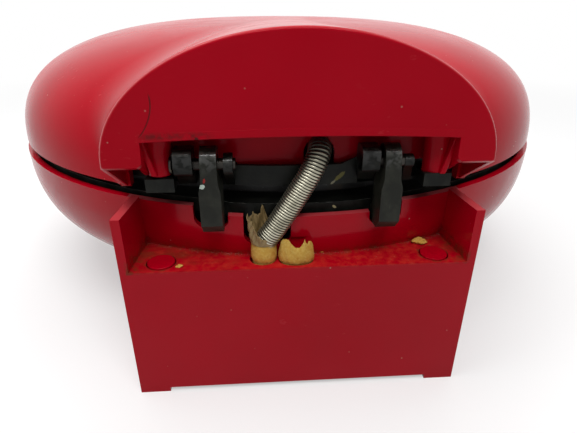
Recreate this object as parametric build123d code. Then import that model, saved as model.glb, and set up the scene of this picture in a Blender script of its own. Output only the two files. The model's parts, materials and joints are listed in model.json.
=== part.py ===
"""Round countertop quesadilla cooker with a hinged lid, a rear stand and an exposed spring conduit.

Every piece is built about the bowl's axis with z = 0 on the plane of the base rim, front towards +Y,
and moved to the row frame (origin on the table, under the centre of the outline) when it is written.
"""
from build123d import *
import math
import os

# Shells, read from the photograph.
RIM_R = 140.0            # outer radius of the base rim
RIM_HEIGHT = 75.0        # base rim above the table
LID_SET_IN = 0.7         # lid rim inside the base rim
WALL = 2.8               # moulded wall
BOWL_DEPTH = 47.3        # base rim down to the flat of the bowl
BOWL_CURVE_W = 69.4      # radial width of the bowl's curve, from the rim to its flat
BOWL_POWER = 2.83        # fullness of the bowl's curve
DOME_HEIGHT = 56.8       # base rim plane up to the lid's crown
DOME_POWER = 2.85        # fullness of the dome's curve
LID_GAP = 4.6            # lid rim above the base rim
LID_R = RIM_R - LID_SET_IN
BOWL_FLAT_R = RIM_R - BOWL_CURVE_W

# Rear hood of the lid.
REAR_REACH = 7.3         # flat rear face behind the base rim
HOOD_HALF_W = 62.8
HOOD_SPRING_Z = 19.2     # where the straight sides turn into the arch
HOOD_PROUD = 2.4         # crest of the hood's rear edge above the crown
HOOD_FALL = 3.2          # drop of the hood's crest on its way to the front
CHEEK_W = 13.0           # cheeks beside the hinge recess
CHEEK_DROP = 0.9         # lower rear corner of the cheeks under the springing
CHEEK_RUN = 24.8         # slope under the cheeks, from the rear face to the lid rim
RECESS_RISE = 7.4        # upper edge of the recess over the springing, at its ends
RECESS_BOW = 1.2         # bow of that edge
RECESS_DEPTH = 16.0      # rear face to the wall between recess and dome
RECESS_FRONT = 2.6       # recess in front of that wall, under its lower edge
INNER_WALL_Z = 14.6      # lower edge of that wall
TAB_DROP = 3.4
TAB_W = 5.8
REAR_Y = RIM_R + REAR_REACH
HOOD_RISE = DOME_HEIGHT + HOOD_PROUD - HOOD_SPRING_Z
HOOD_LENGTH = RIM_R
HOOD_OPEN_HALF_W = HOOD_HALF_W - CHEEK_W
HOOD_OPEN_Z = HOOD_SPRING_Z + RECESS_RISE
CHEEK_BACK_Z = HOOD_SPRING_Z - CHEEK_DROP
CHEEK_FRONT_Y = REAR_Y - CHEEK_RUN
CHEEK_SLOPE = (CHEEK_BACK_Z - LID_GAP) / CHEEK_RUN
INNER_WALL_Y = REAR_Y - RECESS_DEPTH

# Rear stand of the base.
STAND_HALF_W = HOOD_HALF_W + 0.1
STAND_DEPTH = 48.3       # rear face to the front wall of the stand
STAND_TAPER = 0.1        # narrowing of each side per millimetre towards the front
STAND_WALL = 3.1
SHELF_Z = -19.3          # tray floor between the ears
EAR_TOP_Z = 1.0
FOOT_H = 2.0             # moulded corner feet
FOOT_L = 11.5
PLUG_SET_IN = 13.1       # plugs from the sides of the stand
PLUG_SET_BACK = 6.5      # plugs from its rear face
PLUG_R = 4.9
PLUG_T = 3.0
PLUG_PROUD = 0.5
COVER_T = 2.4
COVER_LIFT = 6.0         # top of the cover above the foot line
STAND_FRONT_Y = REAR_Y - STAND_DEPTH
PLUG_X = STAND_HALF_W - PLUG_SET_IN
PLUG_Y = REAR_Y - PLUG_SET_BACK

# Front legs.
LEG_X = 60.0
LEG_SET_BACK = 64.0      # legs behind the front of the rim
LEG_TOP_Z = -20.0        # top of the leg, inside the bowl's curve
LEG_TOP_R = 13.5
LEG_FOOT_R = 11.0
LEG_BORE_R = 8.0
LEG_STEM = 7.0           # pad's stem inside the leg
PAD_T = 3.0              # rubber pad under each leg
PAD_INSET = 0.4
PAD_CHAMFER = 0.8
LEG_Y = RIM_R - LEG_SET_BACK

# Plates and the frames that hold them.
MEET_Z = 4.0             # plane where the two plates meet
PLATE_GAP = 0.4          # left between them
FRAME_CLEAR = 2.0        # frame inside the base's wall
FRAME_FACE_W = 9.2
PLATE_CLEAR = 0.5        # plate inside the frame's bore
PLATE_T = 12.2
PLATE_EDGE_W = 7.5       # rim of the plate round its pockets
POCKET_DEPTH = 9.0
POCKET_HUB_R = 11.0
POCKET_CORNER_R = 1.6
POCKET_FLOOR_R = 1.5
RIB_W = 7.0
WEDGES = 6
FRAME_SET_BACK = 2.9     # frame face behind the meeting plane
FRAME_FACE_T = 3.0
FRAME_WALL_T = 1.6
LEDGE_W = 9.0
FRAME_LEDGE_T = 2.6
LOWER_SKIRT = 5.4
UPPER_SKIRT = 7.3
FRAME_OUT_R = RIM_R - WALL - FRAME_CLEAR
FRAME_BORE_R = FRAME_OUT_R - FRAME_FACE_W
PLATE_R = FRAME_BORE_R - PLATE_CLEAR
POCKET_RIM_R = PLATE_R - PLATE_EDGE_W
FRAME_LEDGE_R = FRAME_BORE_R - LEDGE_W

# Screws.
SCREW_R = 1.5
SCREW_HEAD_R = 2.9
SCREW_HEAD_H = 2.0
SCREW_L = 12.0
PLATE_SCREW_L = 9.0
PAN_SCREW_BITE = 6.0
SMALL_FIT = 0.2
FRAME_SCREW_R = FRAME_OUT_R - 3.3
PLATE_SCREW_R = FRAME_BORE_R - LEDGE_W / 2
FRAME_SCREW_ANGLES = (20.0, 160.0, 205.0, 335.0)
LID_SCREW_ANGLES = (35.0, 145.0)
PLATE_SCREW_ANGLES = (45.0, 135.0, 225.0, 315.0)
POST_R = 4.2
POST_BORE_Z = -24.0      # bottom of the screw holes in the base's posts
BOSS_R = 3.2

# Heaters, reflectors and controls.
ELEMENT_INSET = 34.0     # heating ring inside the pockets' outer edge
ELEMENT_D = 7.0
ELEMENT_GAP_DEG = 36.0   # open part of the ring, at the rear
ELEMENT_TAIL = 14.0
PAN_CLEAR = 2.5          # reflector inside the ledge
PAN_T = 0.8
PAN_DEPTH = 12.0
THERMOSTAT_Y = 42.0
THERMOSTAT_R = 9.0
THERMOSTAT_H = 7.2
BLADE_X = 5.0
BLADE_T = 0.8
BLADE_W = 6.0
BLADE_L = 3.0
FUSE_R = 2.2
FUSE_L = 14.0
FUSE_GAP = 12.0          # fuse from the thermostat
LEAD_D = 2.6
LEAD_Z = -33.0           # leads run from the bowl into the stand at this height
LEAD_JOIN = 38.0         # both leads lie side by side this far behind the tails
LEAD_RISE = 4.5
ELEMENT_R = POCKET_RIM_R - ELEMENT_INSET
PAN_R = FRAME_LEDGE_R - PAN_CLEAR

# Hinge.
PIVOT_SET_IN = 8.0       # pivot in front of the rear face
PIVOT_Z = 16.8
PIN_R = 2.0
PIN_FIT = 0.05
PIN_HEAD_T = 0.9
PIN_HEAD_R = 3.1
ARM_X = 31.5
ARM_T = 7.2
ARM_TOP_T = 6.0
ARM_SET_IN = 1.9         # rear edge of the arms in front of the rear face
ARM_FOOT_Z = -7.2
ARM_HEAD_R = 5.0
ARM_TOE = 4.0            # cut corner at the foot
ARM_NECK = 7.0           # where the rear edge starts to lean towards the head
ARM_INSIDE = 1.5         # cut corner under the frame
SHOULDER_LOW = 8.0       # shoulders start and end this far under the pivot
SHOULDER_HIGH = 5.0
ARM_SCREW_RUN = 3.6      # screw behind the front end of the arm
SLOT_HALF_W = 6.2
SLOT_Z = -8.4
SLOT_DEPTH = 22.3        # slots, from the rear face into the bowl
SLOT_CORNER_R = 3.6
MID_WALL_Z = -3.0
MID_WALL_FRONT = 4.0     # lowered rim starts this far in front of the rear face
KNUCKLE_T = 6.0
KNUCKLE_CLEAR = 1.0
KNUCKLE_HALF = 5.5       # knuckle around the pivot, square with round corners
KNUCKLE_CORNER_R = 2.4
LUG_T = 3.0
LUG_R = 3.7
LUG_CLEAR = 2.4
PIVOT_Y = REAR_Y - PIVOT_SET_IN
ARM_REAR_Y = REAR_Y - ARM_SET_IN
ARM_ROOT_Y = FRAME_BORE_R - 2 * SMALL_FIT
ARM_SCREW_Y = ARM_ROOT_Y + ARM_SCREW_RUN
KNUCKLE_ROOT_Y = FRAME_BORE_R + FRAME_WALL_T + 4 * SMALL_FIT

# Rear screw bosses of the lid and the frame pads under them.
BOSS_SET_IN = 1.6        # bosses from the sides of the recess
BOSS_AHEAD = 1.9         # bosses in front of the pivot
REAR_BOSS_R = 4.2
BOSS_LOW_Z = 10.2
PAD_HALF_W = 4.7
PAD_LOW_Z = 5.6
BOSS_X = HOOD_OPEN_HALF_W - BOSS_SET_IN
BOSS_Y = PIVOT_Y - BOSS_AHEAD

# Conduit from the stand's shelf into the lid.
CONDUIT_R = 3.9
CONDUIT_X = -13.3
CONDUIT_SET_IN = 7.2     # foot of the conduit in front of the rear face
CONDUIT_LOW_Z = -24.0
CONDUIT_BEND_Z = -9.4
CONDUIT_TOP_X = 8.2
CONDUIT_TOP_RISE = 2.4   # centre line over the upper edge of the recess
CONDUIT_END = 23.3       # end of the conduit in front of the rear face
CONDUIT_BEND_RADII = (10.5, 12.0)
CONDUIT_NOTCH = 1.2      # room round the conduit in the inner wall
CONDUIT_SLOT_HALF_W = 8.4
CONDUIT_SLOT_SHIFT = 1.7  # slot's centre beside the conduit's foot
CONDUIT_SLOT_DROP = 2.4
CONDUIT_SLOT_CORNER_R = 4.0
SPRING_WIRE_R = 0.375
SPRING_PITCH = 1.8
LEAD_BUNDLE_R = 2.5
SLEEVE_R = 4.7
SLEEVE_TOP_R = 4.35
SLEEVE_TOP_Z = -11.9
SLEEVE_SINK = 2.0        # sleeve and gland below the tray floor
GLAND_X = -1.4
GLAND_SET_IN = 5.0
GLAND_HALF_W = 6.0
GLAND_HALF_D = 3.6
GLAND_BORE_R = 2.3
GLAND_TOP_Z = -12.2
CONDUIT_Y = REAR_Y - CONDUIT_SET_IN
CONDUIT_TOP = (CONDUIT_TOP_X, -CONDUIT_Y + SMALL_FIT, HOOD_OPEN_Z + CONDUIT_TOP_RISE)
CONDUIT_END_Y = REAR_Y - CONDUIT_END
GLAND_Y = REAR_Y - GLAND_SET_IN

# Handles, swing clip and lamps at the front.
HANDLE_HALF_W = 46.0
HANDLE_LENGTH = 36.0     # grip in front of the base rim
HANDLE_ROOT = 12.0       # part of the grip inside the rim
HANDLE_T = 17.0
HANDLE_SPLIT = 1.3       # each handle stands this far from the meeting plane
HANDLE_DRAFT = 2.0       # narrowing of each side towards the tip
HANDLE_TIP_L = 22.0      # slanted corners of the tip, along and across
HANDLE_TIP_W = 16.0
HANDLE_CORNER_R = 11.0
HANDLE_EDGE_R = 3.6
HANDLE_SCREW_X = 22.0
HANDLE_SCREW_BITE = 12.0
HANDLE_LOW_SCREW_Z = -9.5
HANDLE_HIGH_SCREW_Z = 17.8
CLIP_HALF_W = 15.0
CLIP_T = 3.2
CLIP_L = 27.0            # pin to the tip of the clip
CLIP_HOOK = 3.4
CLIP_HOOK_T = 3.0
CLIP_PIN_R = 1.6
CLIP_PIN_L = 39.0
CLIP_BARREL_R = 3.2
CLIP_CLEAR = 0.6
CLIP_CORNER_R = 1.2
CLIP_PIN_Z = -6.0
CLIP_PIN_INSET = 5.0     # pin behind the front of the handles
LENS_X = 14.0
LENS_SET_BACK = 44.0     # lenses behind the front of the rim
LENS_R = 4.0
LENS_RIM_R = 5.2
LENS_PROUD = 1.0
LENS_DEPTH = 16.8        # back of the lenses under the crown
LAMP_R = 2.6
LAMP_L = 9.0
HANDLE_REACH = RIM_R + HANDLE_LENGTH
HANDLE_ROOT_Y = RIM_R - HANDLE_ROOT
CLIP_PIN_Y = HANDLE_REACH - CLIP_PIN_INSET
CLIP_TIP_Y = CLIP_PIN_Y + CLIP_T / 2 + CLIP_HOOK
LENS_Y = RIM_R - LENS_SET_BACK
LENS_BACK_Z = DOME_HEIGHT - LENS_DEPTH

OVER = 5.0               # cutters run this far past what they cut
BOWL_Y = (REAR_Y - max(HANDLE_REACH, CLIP_TIP_Y)) / 2
TO_ROW = Location((0, BOWL_Y, RIM_HEIGHT))
FLOOR_Z = -RIM_HEIGHT
COVER_TOP_Z = FLOOR_Z + FOOT_H + COVER_LIFT
LOWER_FACE_Z = MEET_Z - FRAME_SET_BACK
PLATE_TOP_Z = MEET_Z - PLATE_GAP / 2
PLATE_BACK_Z = PLATE_TOP_Z - PLATE_T
PAN_FLOOR_Z = PLATE_BACK_Z - PAN_DEPTH
ELEMENT_Z = PLATE_BACK_Z - ELEMENT_D / 2
SKIRT_LOW_Z = LOWER_FACE_Z - LOWER_SKIRT
MEET_PLANE = Plane.XY.offset(MEET_Z)


def crown_points(outer_r, flat_r, height, power, steps=9):
    """Points of a rounded profile from the rim (outer_r, 0) to the flat (flat_r, height)."""
    points = []
    for i in range(steps + 1):
        turn = math.pi / 2 * i / steps
        reach = math.cos(turn) ** (2 / power) if i < steps else 0.0
        rise = math.sin(turn) ** (2 / power)
        points.append((flat_r + (outer_r - flat_r) * reach, 0, height * rise))
    return points


def crown_radius(outer_r, height, power, z):
    """Radius of a dome's profile at a height above its rim."""
    return outer_r * (1 - (z / height) ** power) ** (1 / power)


def crown_solid(outer_r, flat_r, height, power, skirt=0.0):
    """Solid of revolution under a rounded profile, with an optional straight skirt past the rim."""
    side = math.copysign(1.0, height)
    points = crown_points(outer_r, flat_r, height, power)
    curve = Spline(*points, tangents=[(0, 0, side), (-1, 0, 0)])
    rim = (outer_r, 0, -side * skirt)
    outline = [curve]
    if flat_r > 0:
        outline.append(Line(points[-1], (0, 0, height)))
    outline.append(Polyline((0, 0, height), (0, 0, rim[2]), rim))
    if skirt > 0:
        outline.append(Line(rim, points[0]))
    return revolve(make_face(outline), Axis.Z)


def box_between(low, high):
    """Box from its lowest to its highest corner."""
    size = [b - a for a, b in zip(low, high)]
    centre = [(a + b) / 2 for a, b in zip(low, high)]
    return Pos(*centre) * Box(*size)


def rod(x, y, low, high, radius):
    """Upright round bar."""
    return Pos(x, y, (low + high) / 2) * Cylinder(radius, high - low)


def cross_rod(low_x, high_x, y, z, radius):
    """Round bar along X."""
    return Pos((low_x + high_x) / 2, y, z) * Rot(0, 90, 0) * Cylinder(radius, high_x - low_x)


def side_plate(points, low_x, high_x):
    """Plate with an outline in the YZ plane, between two X positions."""
    face = make_face(Polyline(*[(low_x, y, z) for y, z in points], close=True))
    return extrude(face, high_x - low_x, dir=(1, 0, 0))


def ring(outer_r, inner_r, low, high):
    """Flat ring about the bowl's axis."""
    return rod(0, 0, low, high, outer_r) - rod(0, 0, low - 1, high + 1, inner_r)


def polar(radius, degrees):
    """Point on a circle about the bowl's axis."""
    turn = math.radians(degrees)
    return radius * math.cos(turn), radius * math.sin(turn)


def screw(x, y, seat_z, length, up):
    """Pan head screw with its head under (up=1) or over (up=-1) the seat."""
    head = rod(x, y, min(seat_z, seat_z - up * SCREW_HEAD_H), max(seat_z, seat_z - up * SCREW_HEAD_H),
               SCREW_HEAD_R)
    shank = rod(x, y, min(seat_z, seat_z + up * length), max(seat_z, seat_z + up * length), SCREW_R)
    return head + shank


def write(name, shapes):
    """Moves the solids of a node to the row frame and writes them to one file."""
    moved = [TO_ROW * solid for shape in shapes for solid in shape.solids()]
    export_step(moved[0] if len(moved) == 1 else Compound(children=moved), f"parts/{name}.step")


def stand_prism(inset, low, high, rear_inset=0.0, front_inset=0.0):
    """Upright prism on the stand's plan, with its sides moved in by an inset."""
    rear_y = -REAR_Y + rear_inset
    front_y = -STAND_FRONT_Y - front_inset
    rear_w = STAND_HALF_W - inset - STAND_TAPER * rear_inset
    front_w = STAND_HALF_W - inset - STAND_TAPER * (REAR_Y - STAND_FRONT_Y - front_inset)
    plan = Polyline((-rear_w, rear_y, low), (rear_w, rear_y, low), (front_w, front_y, low),
                    (-front_w, front_y, low), close=True)
    return extrude(make_face(plan), high - low, dir=(0, 0, 1))


def bowl_outer(skirt=0.0):
    return crown_solid(RIM_R, BOWL_FLAT_R, -BOWL_DEPTH, BOWL_POWER, skirt)


def bowl_inner(skirt=0.0):
    return crown_solid(RIM_R - WALL, BOWL_FLAT_R, WALL - BOWL_DEPTH, BOWL_POWER, skirt)


def rounded_slot(half_w, low, corner, centre_x):
    """Cutter for a slot in the rear wall, open at the top, with round lower corners."""
    body = box_between((centre_x - half_w, -REAR_Y - OVER, low),
                       (centre_x + half_w, -REAR_Y + SLOT_DEPTH, EAR_TOP_Z + OVER))
    lower = body.edges().filter_by(Axis.Y).group_by(Axis.Z)[0]
    return fillet(lower, corner)


def conduit_path():
    """Centre line of the conduit: up through the shelf, across to the right, then forward into the lid."""
    top_x, top_y, top_z = CONDUIT_TOP
    return FilletPolyline((CONDUIT_X, -CONDUIT_Y, CONDUIT_LOW_Z), (CONDUIT_X, -CONDUIT_Y, CONDUIT_BEND_Z),
                          CONDUIT_TOP, (top_x, -CONDUIT_END_Y, top_z), radius=list(CONDUIT_BEND_RADII))


def conduit_hole_in_shelf():
    return rod(CONDUIT_X, -CONDUIT_Y, CONDUIT_LOW_Z - OVER, SLEEVE_TOP_Z + 1, SLEEVE_R + SMALL_FIT)


def gland_plan(grow, low, high):
    """Oval prism of the gland."""
    plan = Pos(GLAND_X, -GLAND_Y, low) * Ellipse(GLAND_HALF_W + grow, GLAND_HALF_D + grow)
    return extrude(plan, high - low)


def base_shell():
    """Bowl, rear stand with its tray and ears, and front legs, moulded in one."""
    outer = bowl_outer()
    stand = stand_prism(0, FLOOR_Z, EAR_TOP_Z)
    tray = stand_prism(STAND_WALL, SHELF_Z, EAR_TOP_Z + OVER) + box_between(
        (-STAND_HALF_W + STAND_WALL, -REAR_Y - OVER, SHELF_Z),
        (STAND_HALF_W - STAND_WALL, -REAR_Y + 0.01, EAR_TOP_Z + OVER))
    legs = None
    for side in (-1, 1):
        leg = Pos(side * LEG_X, LEG_Y, (FLOOR_Z + PAD_T + LEG_TOP_Z) / 2) * Cone(
            LEG_FOOT_R, LEG_TOP_R, LEG_TOP_Z - FLOOR_Z - PAD_T)
        legs = leg if legs is None else legs + leg
    body = outer + (stand - (tray - bowl_outer(2 * OVER))) + legs
    # Hollow stand, closed against the bowl, with posts under the shelf plugs.
    hollow = stand_prism(STAND_WALL, FLOOR_Z - 1, SHELF_Z - WALL, STAND_WALL, STAND_WALL) - outer
    for side in (-1, 1):
        hollow -= rod(side * PLUG_X, -PLUG_Y, COVER_TOP_Z + SMALL_FIT, 0, PLUG_R + WALL)
    body -= hollow
    # Inside of the bowl, with posts for the lower frame.
    inside = bowl_inner(EAR_TOP_Z + OVER)
    for angle in FRAME_SCREW_ANGLES:
        x, y = polar(FRAME_SCREW_R, angle)
        inside -= rod(x, y, -BOWL_DEPTH, SKIRT_LOW_Z, POST_R)
    body -= inside
    body -= rod(0, 0, 0, EAR_TOP_Z + OVER, RIM_R)
    for angle in FRAME_SCREW_ANGLES:
        x, y = polar(FRAME_SCREW_R, angle)
        body -= rod(x, y, POST_BORE_Z, OVER, SCREW_R + SMALL_FIT / 2)
    # Clear of the table except at the corner feet.
    body -= box_between((-STAND_HALF_W + FOOT_L, -REAR_Y - 1, FLOOR_Z - 1),
                        (STAND_HALF_W - FOOT_L, -STAND_FRONT_Y + 1, FLOOR_Z + FOOT_H))
    body -= box_between((-STAND_HALF_W - 1, -REAR_Y + FOOT_L, FLOOR_Z - 1),
                        (STAND_HALF_W + 1, -STAND_FRONT_Y - FOOT_L, FLOOR_Z + FOOT_H))
    # Slots for the hinge arms and the conduit, and the lowered rim between them.
    body -= box_between((-ARM_X, -REAR_Y + MID_WALL_FRONT, MID_WALL_Z),
                        (ARM_X, -STAND_FRONT_Y, EAR_TOP_Z + OVER))
    for side in (-1, 1):
        body -= rounded_slot(SLOT_HALF_W, SLOT_Z, SLOT_CORNER_R, side * ARM_X)
    body -= rounded_slot(CONDUIT_SLOT_HALF_W, SLEEVE_TOP_Z - CONDUIT_SLOT_DROP, CONDUIT_SLOT_CORNER_R,
                         CONDUIT_X + CONDUIT_SLOT_SHIFT)
    body -= conduit_hole_in_shelf()
    body -= gland_plan(SMALL_FIT, SHELF_Z - SLEEVE_SINK, GLAND_TOP_Z + 1)
    body -= rod(GLAND_X, -GLAND_Y, SHELF_Z - WALL - 1, SHELF_Z, GLAND_BORE_R + SMALL_FIT)
    for side in (-1, 1):
        body -= rod(side * PLUG_X, -PLUG_Y, SHELF_Z - PLUG_T, SHELF_Z + 1, PLUG_R + 2 * SMALL_FIT)
        body -= rod(side * PLUG_X, -PLUG_Y, COVER_TOP_Z - 1, COVER_TOP_Z + SCREW_L, SCREW_R + SMALL_FIT / 2)
        body -= rod(side * LEG_X, LEG_Y, FLOOR_Z - 1, -BOWL_DEPTH - OVER, LEG_BORE_R)
        body -= Pos(side * HANDLE_SCREW_X, RIM_R, HANDLE_LOW_SCREW_Z) * Rot(90, 0, 0) * Cylinder(
            SCREW_R + SMALL_FIT, 2 * HANDLE_LENGTH)
    # Way for the leads from the stand into the bowl.
    body -= Pos(0, -(RIM_R + INNER_WALL_Y) / 2 + 6, LEAD_Z) * Rot(90, 0, 0) * Cylinder(2 * LEAD_D, 24)
    return body


def stand_cover():
    """Plate that closes the stand from below."""
    plate = stand_prism(STAND_WALL + SMALL_FIT, COVER_TOP_Z - COVER_T, COVER_TOP_Z,
                        STAND_WALL + SMALL_FIT, STAND_WALL + SMALL_FIT)
    for side in (-1, 1):
        plate -= rod(side * PLUG_X, -PLUG_Y, COVER_TOP_Z - COVER_T - 1, COVER_TOP_Z + 1,
                     SCREW_R + SMALL_FIT)
    return plate


def stand_cover_screws():
    return [screw(side * PLUG_X, -PLUG_Y, COVER_TOP_Z - COVER_T, SCREW_L, 1) for side in (-1, 1)]


def shelf_plugs():
    """Round plugs in the tray floor, standing just proud of it."""
    return [rod(side * PLUG_X, -PLUG_Y, SHELF_Z - PLUG_T, SHELF_Z + PLUG_PROUD, PLUG_R) for side in (-1, 1)]


def front_foot(side):
    """Rubber pad with a stem that plugs into the leg."""
    pad = rod(side * LEG_X, LEG_Y, FLOOR_Z, FLOOR_Z + PAD_T, LEG_FOOT_R - PAD_INSET)
    pad = chamfer(pad.edges().group_by(Axis.Z)[0], PAD_CHAMFER)
    return pad + rod(side * LEG_X, LEG_Y, FLOOR_Z + PAD_T, FLOOR_Z + PAD_T + LEG_STEM, LEG_BORE_R - SMALL_FIT)


def plate_frame(skirt, angles, plate_angles=PLATE_SCREW_ANGLES):
    """Ring that carries a plate, in the lower position: face, skirt, bore wall and ledge."""
    face_low = LOWER_FACE_Z - FRAME_FACE_T
    body = ring(FRAME_OUT_R, FRAME_BORE_R, face_low, LOWER_FACE_Z)
    body += ring(FRAME_OUT_R, FRAME_OUT_R - FRAME_WALL_T, LOWER_FACE_Z - skirt, LOWER_FACE_Z)
    body += ring(FRAME_BORE_R + FRAME_WALL_T, FRAME_BORE_R, PLATE_BACK_Z - FRAME_LEDGE_T, LOWER_FACE_Z)
    body += ring(FRAME_BORE_R + FRAME_WALL_T, FRAME_LEDGE_R, PLATE_BACK_Z - FRAME_LEDGE_T, PLATE_BACK_Z)
    for angle in angles:
        x, y = polar(FRAME_SCREW_R, angle)
        body += rod(x, y, LOWER_FACE_Z - skirt, LOWER_FACE_Z, BOSS_R)
        body -= rod(x, y, LOWER_FACE_Z - skirt - 1, LOWER_FACE_Z + 1, SCREW_R + SMALL_FIT / 2)
        body -= rod(x, y, LOWER_FACE_Z - SCREW_HEAD_H, LOWER_FACE_Z + 1, SCREW_HEAD_R + SMALL_FIT)
    for angle in plate_angles:
        x, y = polar(PLATE_SCREW_R, angle)
        body -= rod(x, y, PLATE_BACK_Z - FRAME_LEDGE_T - 1, PLATE_BACK_Z + 1, SCREW_R + SMALL_FIT / 2)
    return body


def frame_screws(angles):
    """Screws that hold a frame to its shell, in the lower position."""
    return [screw(*polar(FRAME_SCREW_R, angle), LOWER_FACE_Z - SCREW_HEAD_H, SCREW_L, -1) for angle in angles]


def plate_screws():
    """Screws up through the ledge into the plate, in the lower position."""
    return [screw(*polar(PLATE_SCREW_R, angle), PLATE_BACK_Z - FRAME_LEDGE_T, PLATE_SCREW_L, 1)
            for angle in PLATE_SCREW_ANGLES]


def cooking_plate():
    """Round cast plate with one wedge pocket for each portion, in the lower position."""
    body = rod(0, 0, PLATE_BACK_Z, PLATE_TOP_Z, PLATE_R)
    floor = PLATE_TOP_Z - POCKET_DEPTH
    pockets = ring(POCKET_RIM_R, POCKET_HUB_R, floor, PLATE_TOP_Z + 1)
    for i in range(WEDGES):
        bar = Pos(PLATE_R / 2, 0, PLATE_TOP_Z - POCKET_DEPTH / 2) * Box(PLATE_R, RIB_W, POCKET_DEPTH + 4)
        pockets -= Rot(0, 0, 360 / WEDGES * (i + 0.5)) * bar
    pockets = fillet(pockets.edges().filter_by(Axis.Z), POCKET_CORNER_R)
    pockets = fillet(pockets.edges().group_by(Axis.Z)[0], POCKET_FLOOR_R)
    body -= pockets
    for angle in PLATE_SCREW_ANGLES:
        x, y = polar(PLATE_SCREW_R, angle)
        body -= rod(x, y, PLATE_BACK_Z - 1, PLATE_BACK_Z - FRAME_LEDGE_T + PLATE_SCREW_L + SMALL_FIT, SCREW_R)
    body -= rod(0, 0, PLATE_BACK_Z - 1, PLATE_BACK_Z + PAN_SCREW_BITE, SCREW_R)
    return body


def element():
    """Open heating ring under the plate with two tails through the reflector, in the lower position."""
    section = Plane.XZ * Pos(ELEMENT_R, ELEMENT_Z) * Circle(ELEMENT_D / 2)
    body = Rot(0, 0, 270 + ELEMENT_GAP_DEG / 2) * revolve(section, Axis.Z, 360 - ELEMENT_GAP_DEG)
    for angle in (270 - ELEMENT_GAP_DEG / 2, 270 + ELEMENT_GAP_DEG / 2):
        x, y = polar(ELEMENT_R, angle)
        body += Pos(x, y, ELEMENT_Z) * Sphere(ELEMENT_D / 2)
        body += rod(x, y, ELEMENT_Z - ELEMENT_TAIL, ELEMENT_Z, ELEMENT_D / 2)
    return body


def reflector():
    """Shallow dish that closes the space behind a plate, in the lower position."""
    body = rod(0, 0, PAN_FLOOR_Z, PLATE_BACK_Z, PAN_R)
    body -= rod(0, 0, PAN_FLOOR_Z + PAN_T, PLATE_BACK_Z + 1, PAN_R - PAN_T)
    for angle in (270 - ELEMENT_GAP_DEG / 2, 270 + ELEMENT_GAP_DEG / 2):
        x, y = polar(ELEMENT_R, angle)
        body -= rod(x, y, PAN_FLOOR_Z - 1, PAN_FLOOR_Z + 2, ELEMENT_D / 2 + 2 * SMALL_FIT)
    return body - rod(0, 0, PAN_FLOOR_Z - 1, PAN_FLOOR_Z + 2, SCREW_R + SMALL_FIT / 2)


def reflector_screw():
    return screw(0, 0, PAN_FLOOR_Z, PAN_DEPTH + PAN_SCREW_BITE - SMALL_FIT, 1)


def thermostat():
    """Round disc thermostat against the back of the lower plate, with two blades."""
    y = THERMOSTAT_Y
    body = rod(0, y, PLATE_BACK_Z - THERMOSTAT_H, PLATE_BACK_Z, THERMOSTAT_R)
    for side in (-1, 1):
        body += box_between(
            (side * BLADE_X - BLADE_T / 2, y - BLADE_W / 2, PLATE_BACK_Z - THERMOSTAT_H - BLADE_L),
            (side * BLADE_X + BLADE_T / 2, y + BLADE_W / 2, PLATE_BACK_Z - THERMOSTAT_H))
    return body


def thermal_fuse():
    fuse_y = THERMOSTAT_Y - THERMOSTAT_R - FUSE_GAP
    return cross_rod(-FUSE_L / 2, FUSE_L / 2, fuse_y, PLATE_BACK_Z - FUSE_R, FUSE_R)


def lead(points, radii):
    """Insulated lead along straight runs joined by arcs."""
    path = FilletPolyline(*points, radius=list(radii))
    return sweep(Plane(path @ 0, z_dir=path % 0) * Circle(LEAD_D / 2), path=path)


def tail_point(side):
    return polar(ELEMENT_R, 270 + side * ELEMENT_GAP_DEG / 2)


def lower_leads():
    """Two leads from the element's tails into the stand and up to the foot of the conduit."""
    leads = []
    for side in (-1, 1):
        x, y = tail_point(side)
        near = side * (LEAD_D / 2 + SMALL_FIT)
        leads.append(lead([(x, y, ELEMENT_Z - ELEMENT_TAIL), (x, y, LEAD_Z), (near, y - LEAD_JOIN, LEAD_Z),
                           (near, -CONDUIT_Y + 4, LEAD_Z),
                           (CONDUIT_X + near, -CONDUIT_Y, LEAD_Z + LEAD_RISE),
                           (CONDUIT_X + near, -CONDUIT_Y, CONDUIT_LOW_Z - SMALL_FIT)], (3, 8, 3, 2.5)))
    return leads


def upper_leads():
    """Two leads from the end of the conduit to the upper element's tails."""
    top_x, _, top_z = CONDUIT_TOP
    tail_z = 2 * MEET_Z - (ELEMENT_Z - ELEMENT_TAIL)
    leads = []
    for side in (-1, 1):
        x, y = tail_point(side)
        near = top_x + side * (LEAD_D / 2 + SMALL_FIT)
        leads.append(lead([(near, -CONDUIT_END_Y + SMALL_FIT, top_z), (near, -CONDUIT_END_Y + 5, top_z + 0.4),
                           (near, -CONDUIT_END_Y + 16, top_z + 7), (x, y, tail_z + 4.6), (x, y, tail_z)],
                          (2.5, 6, 3)))
    return leads


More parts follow.
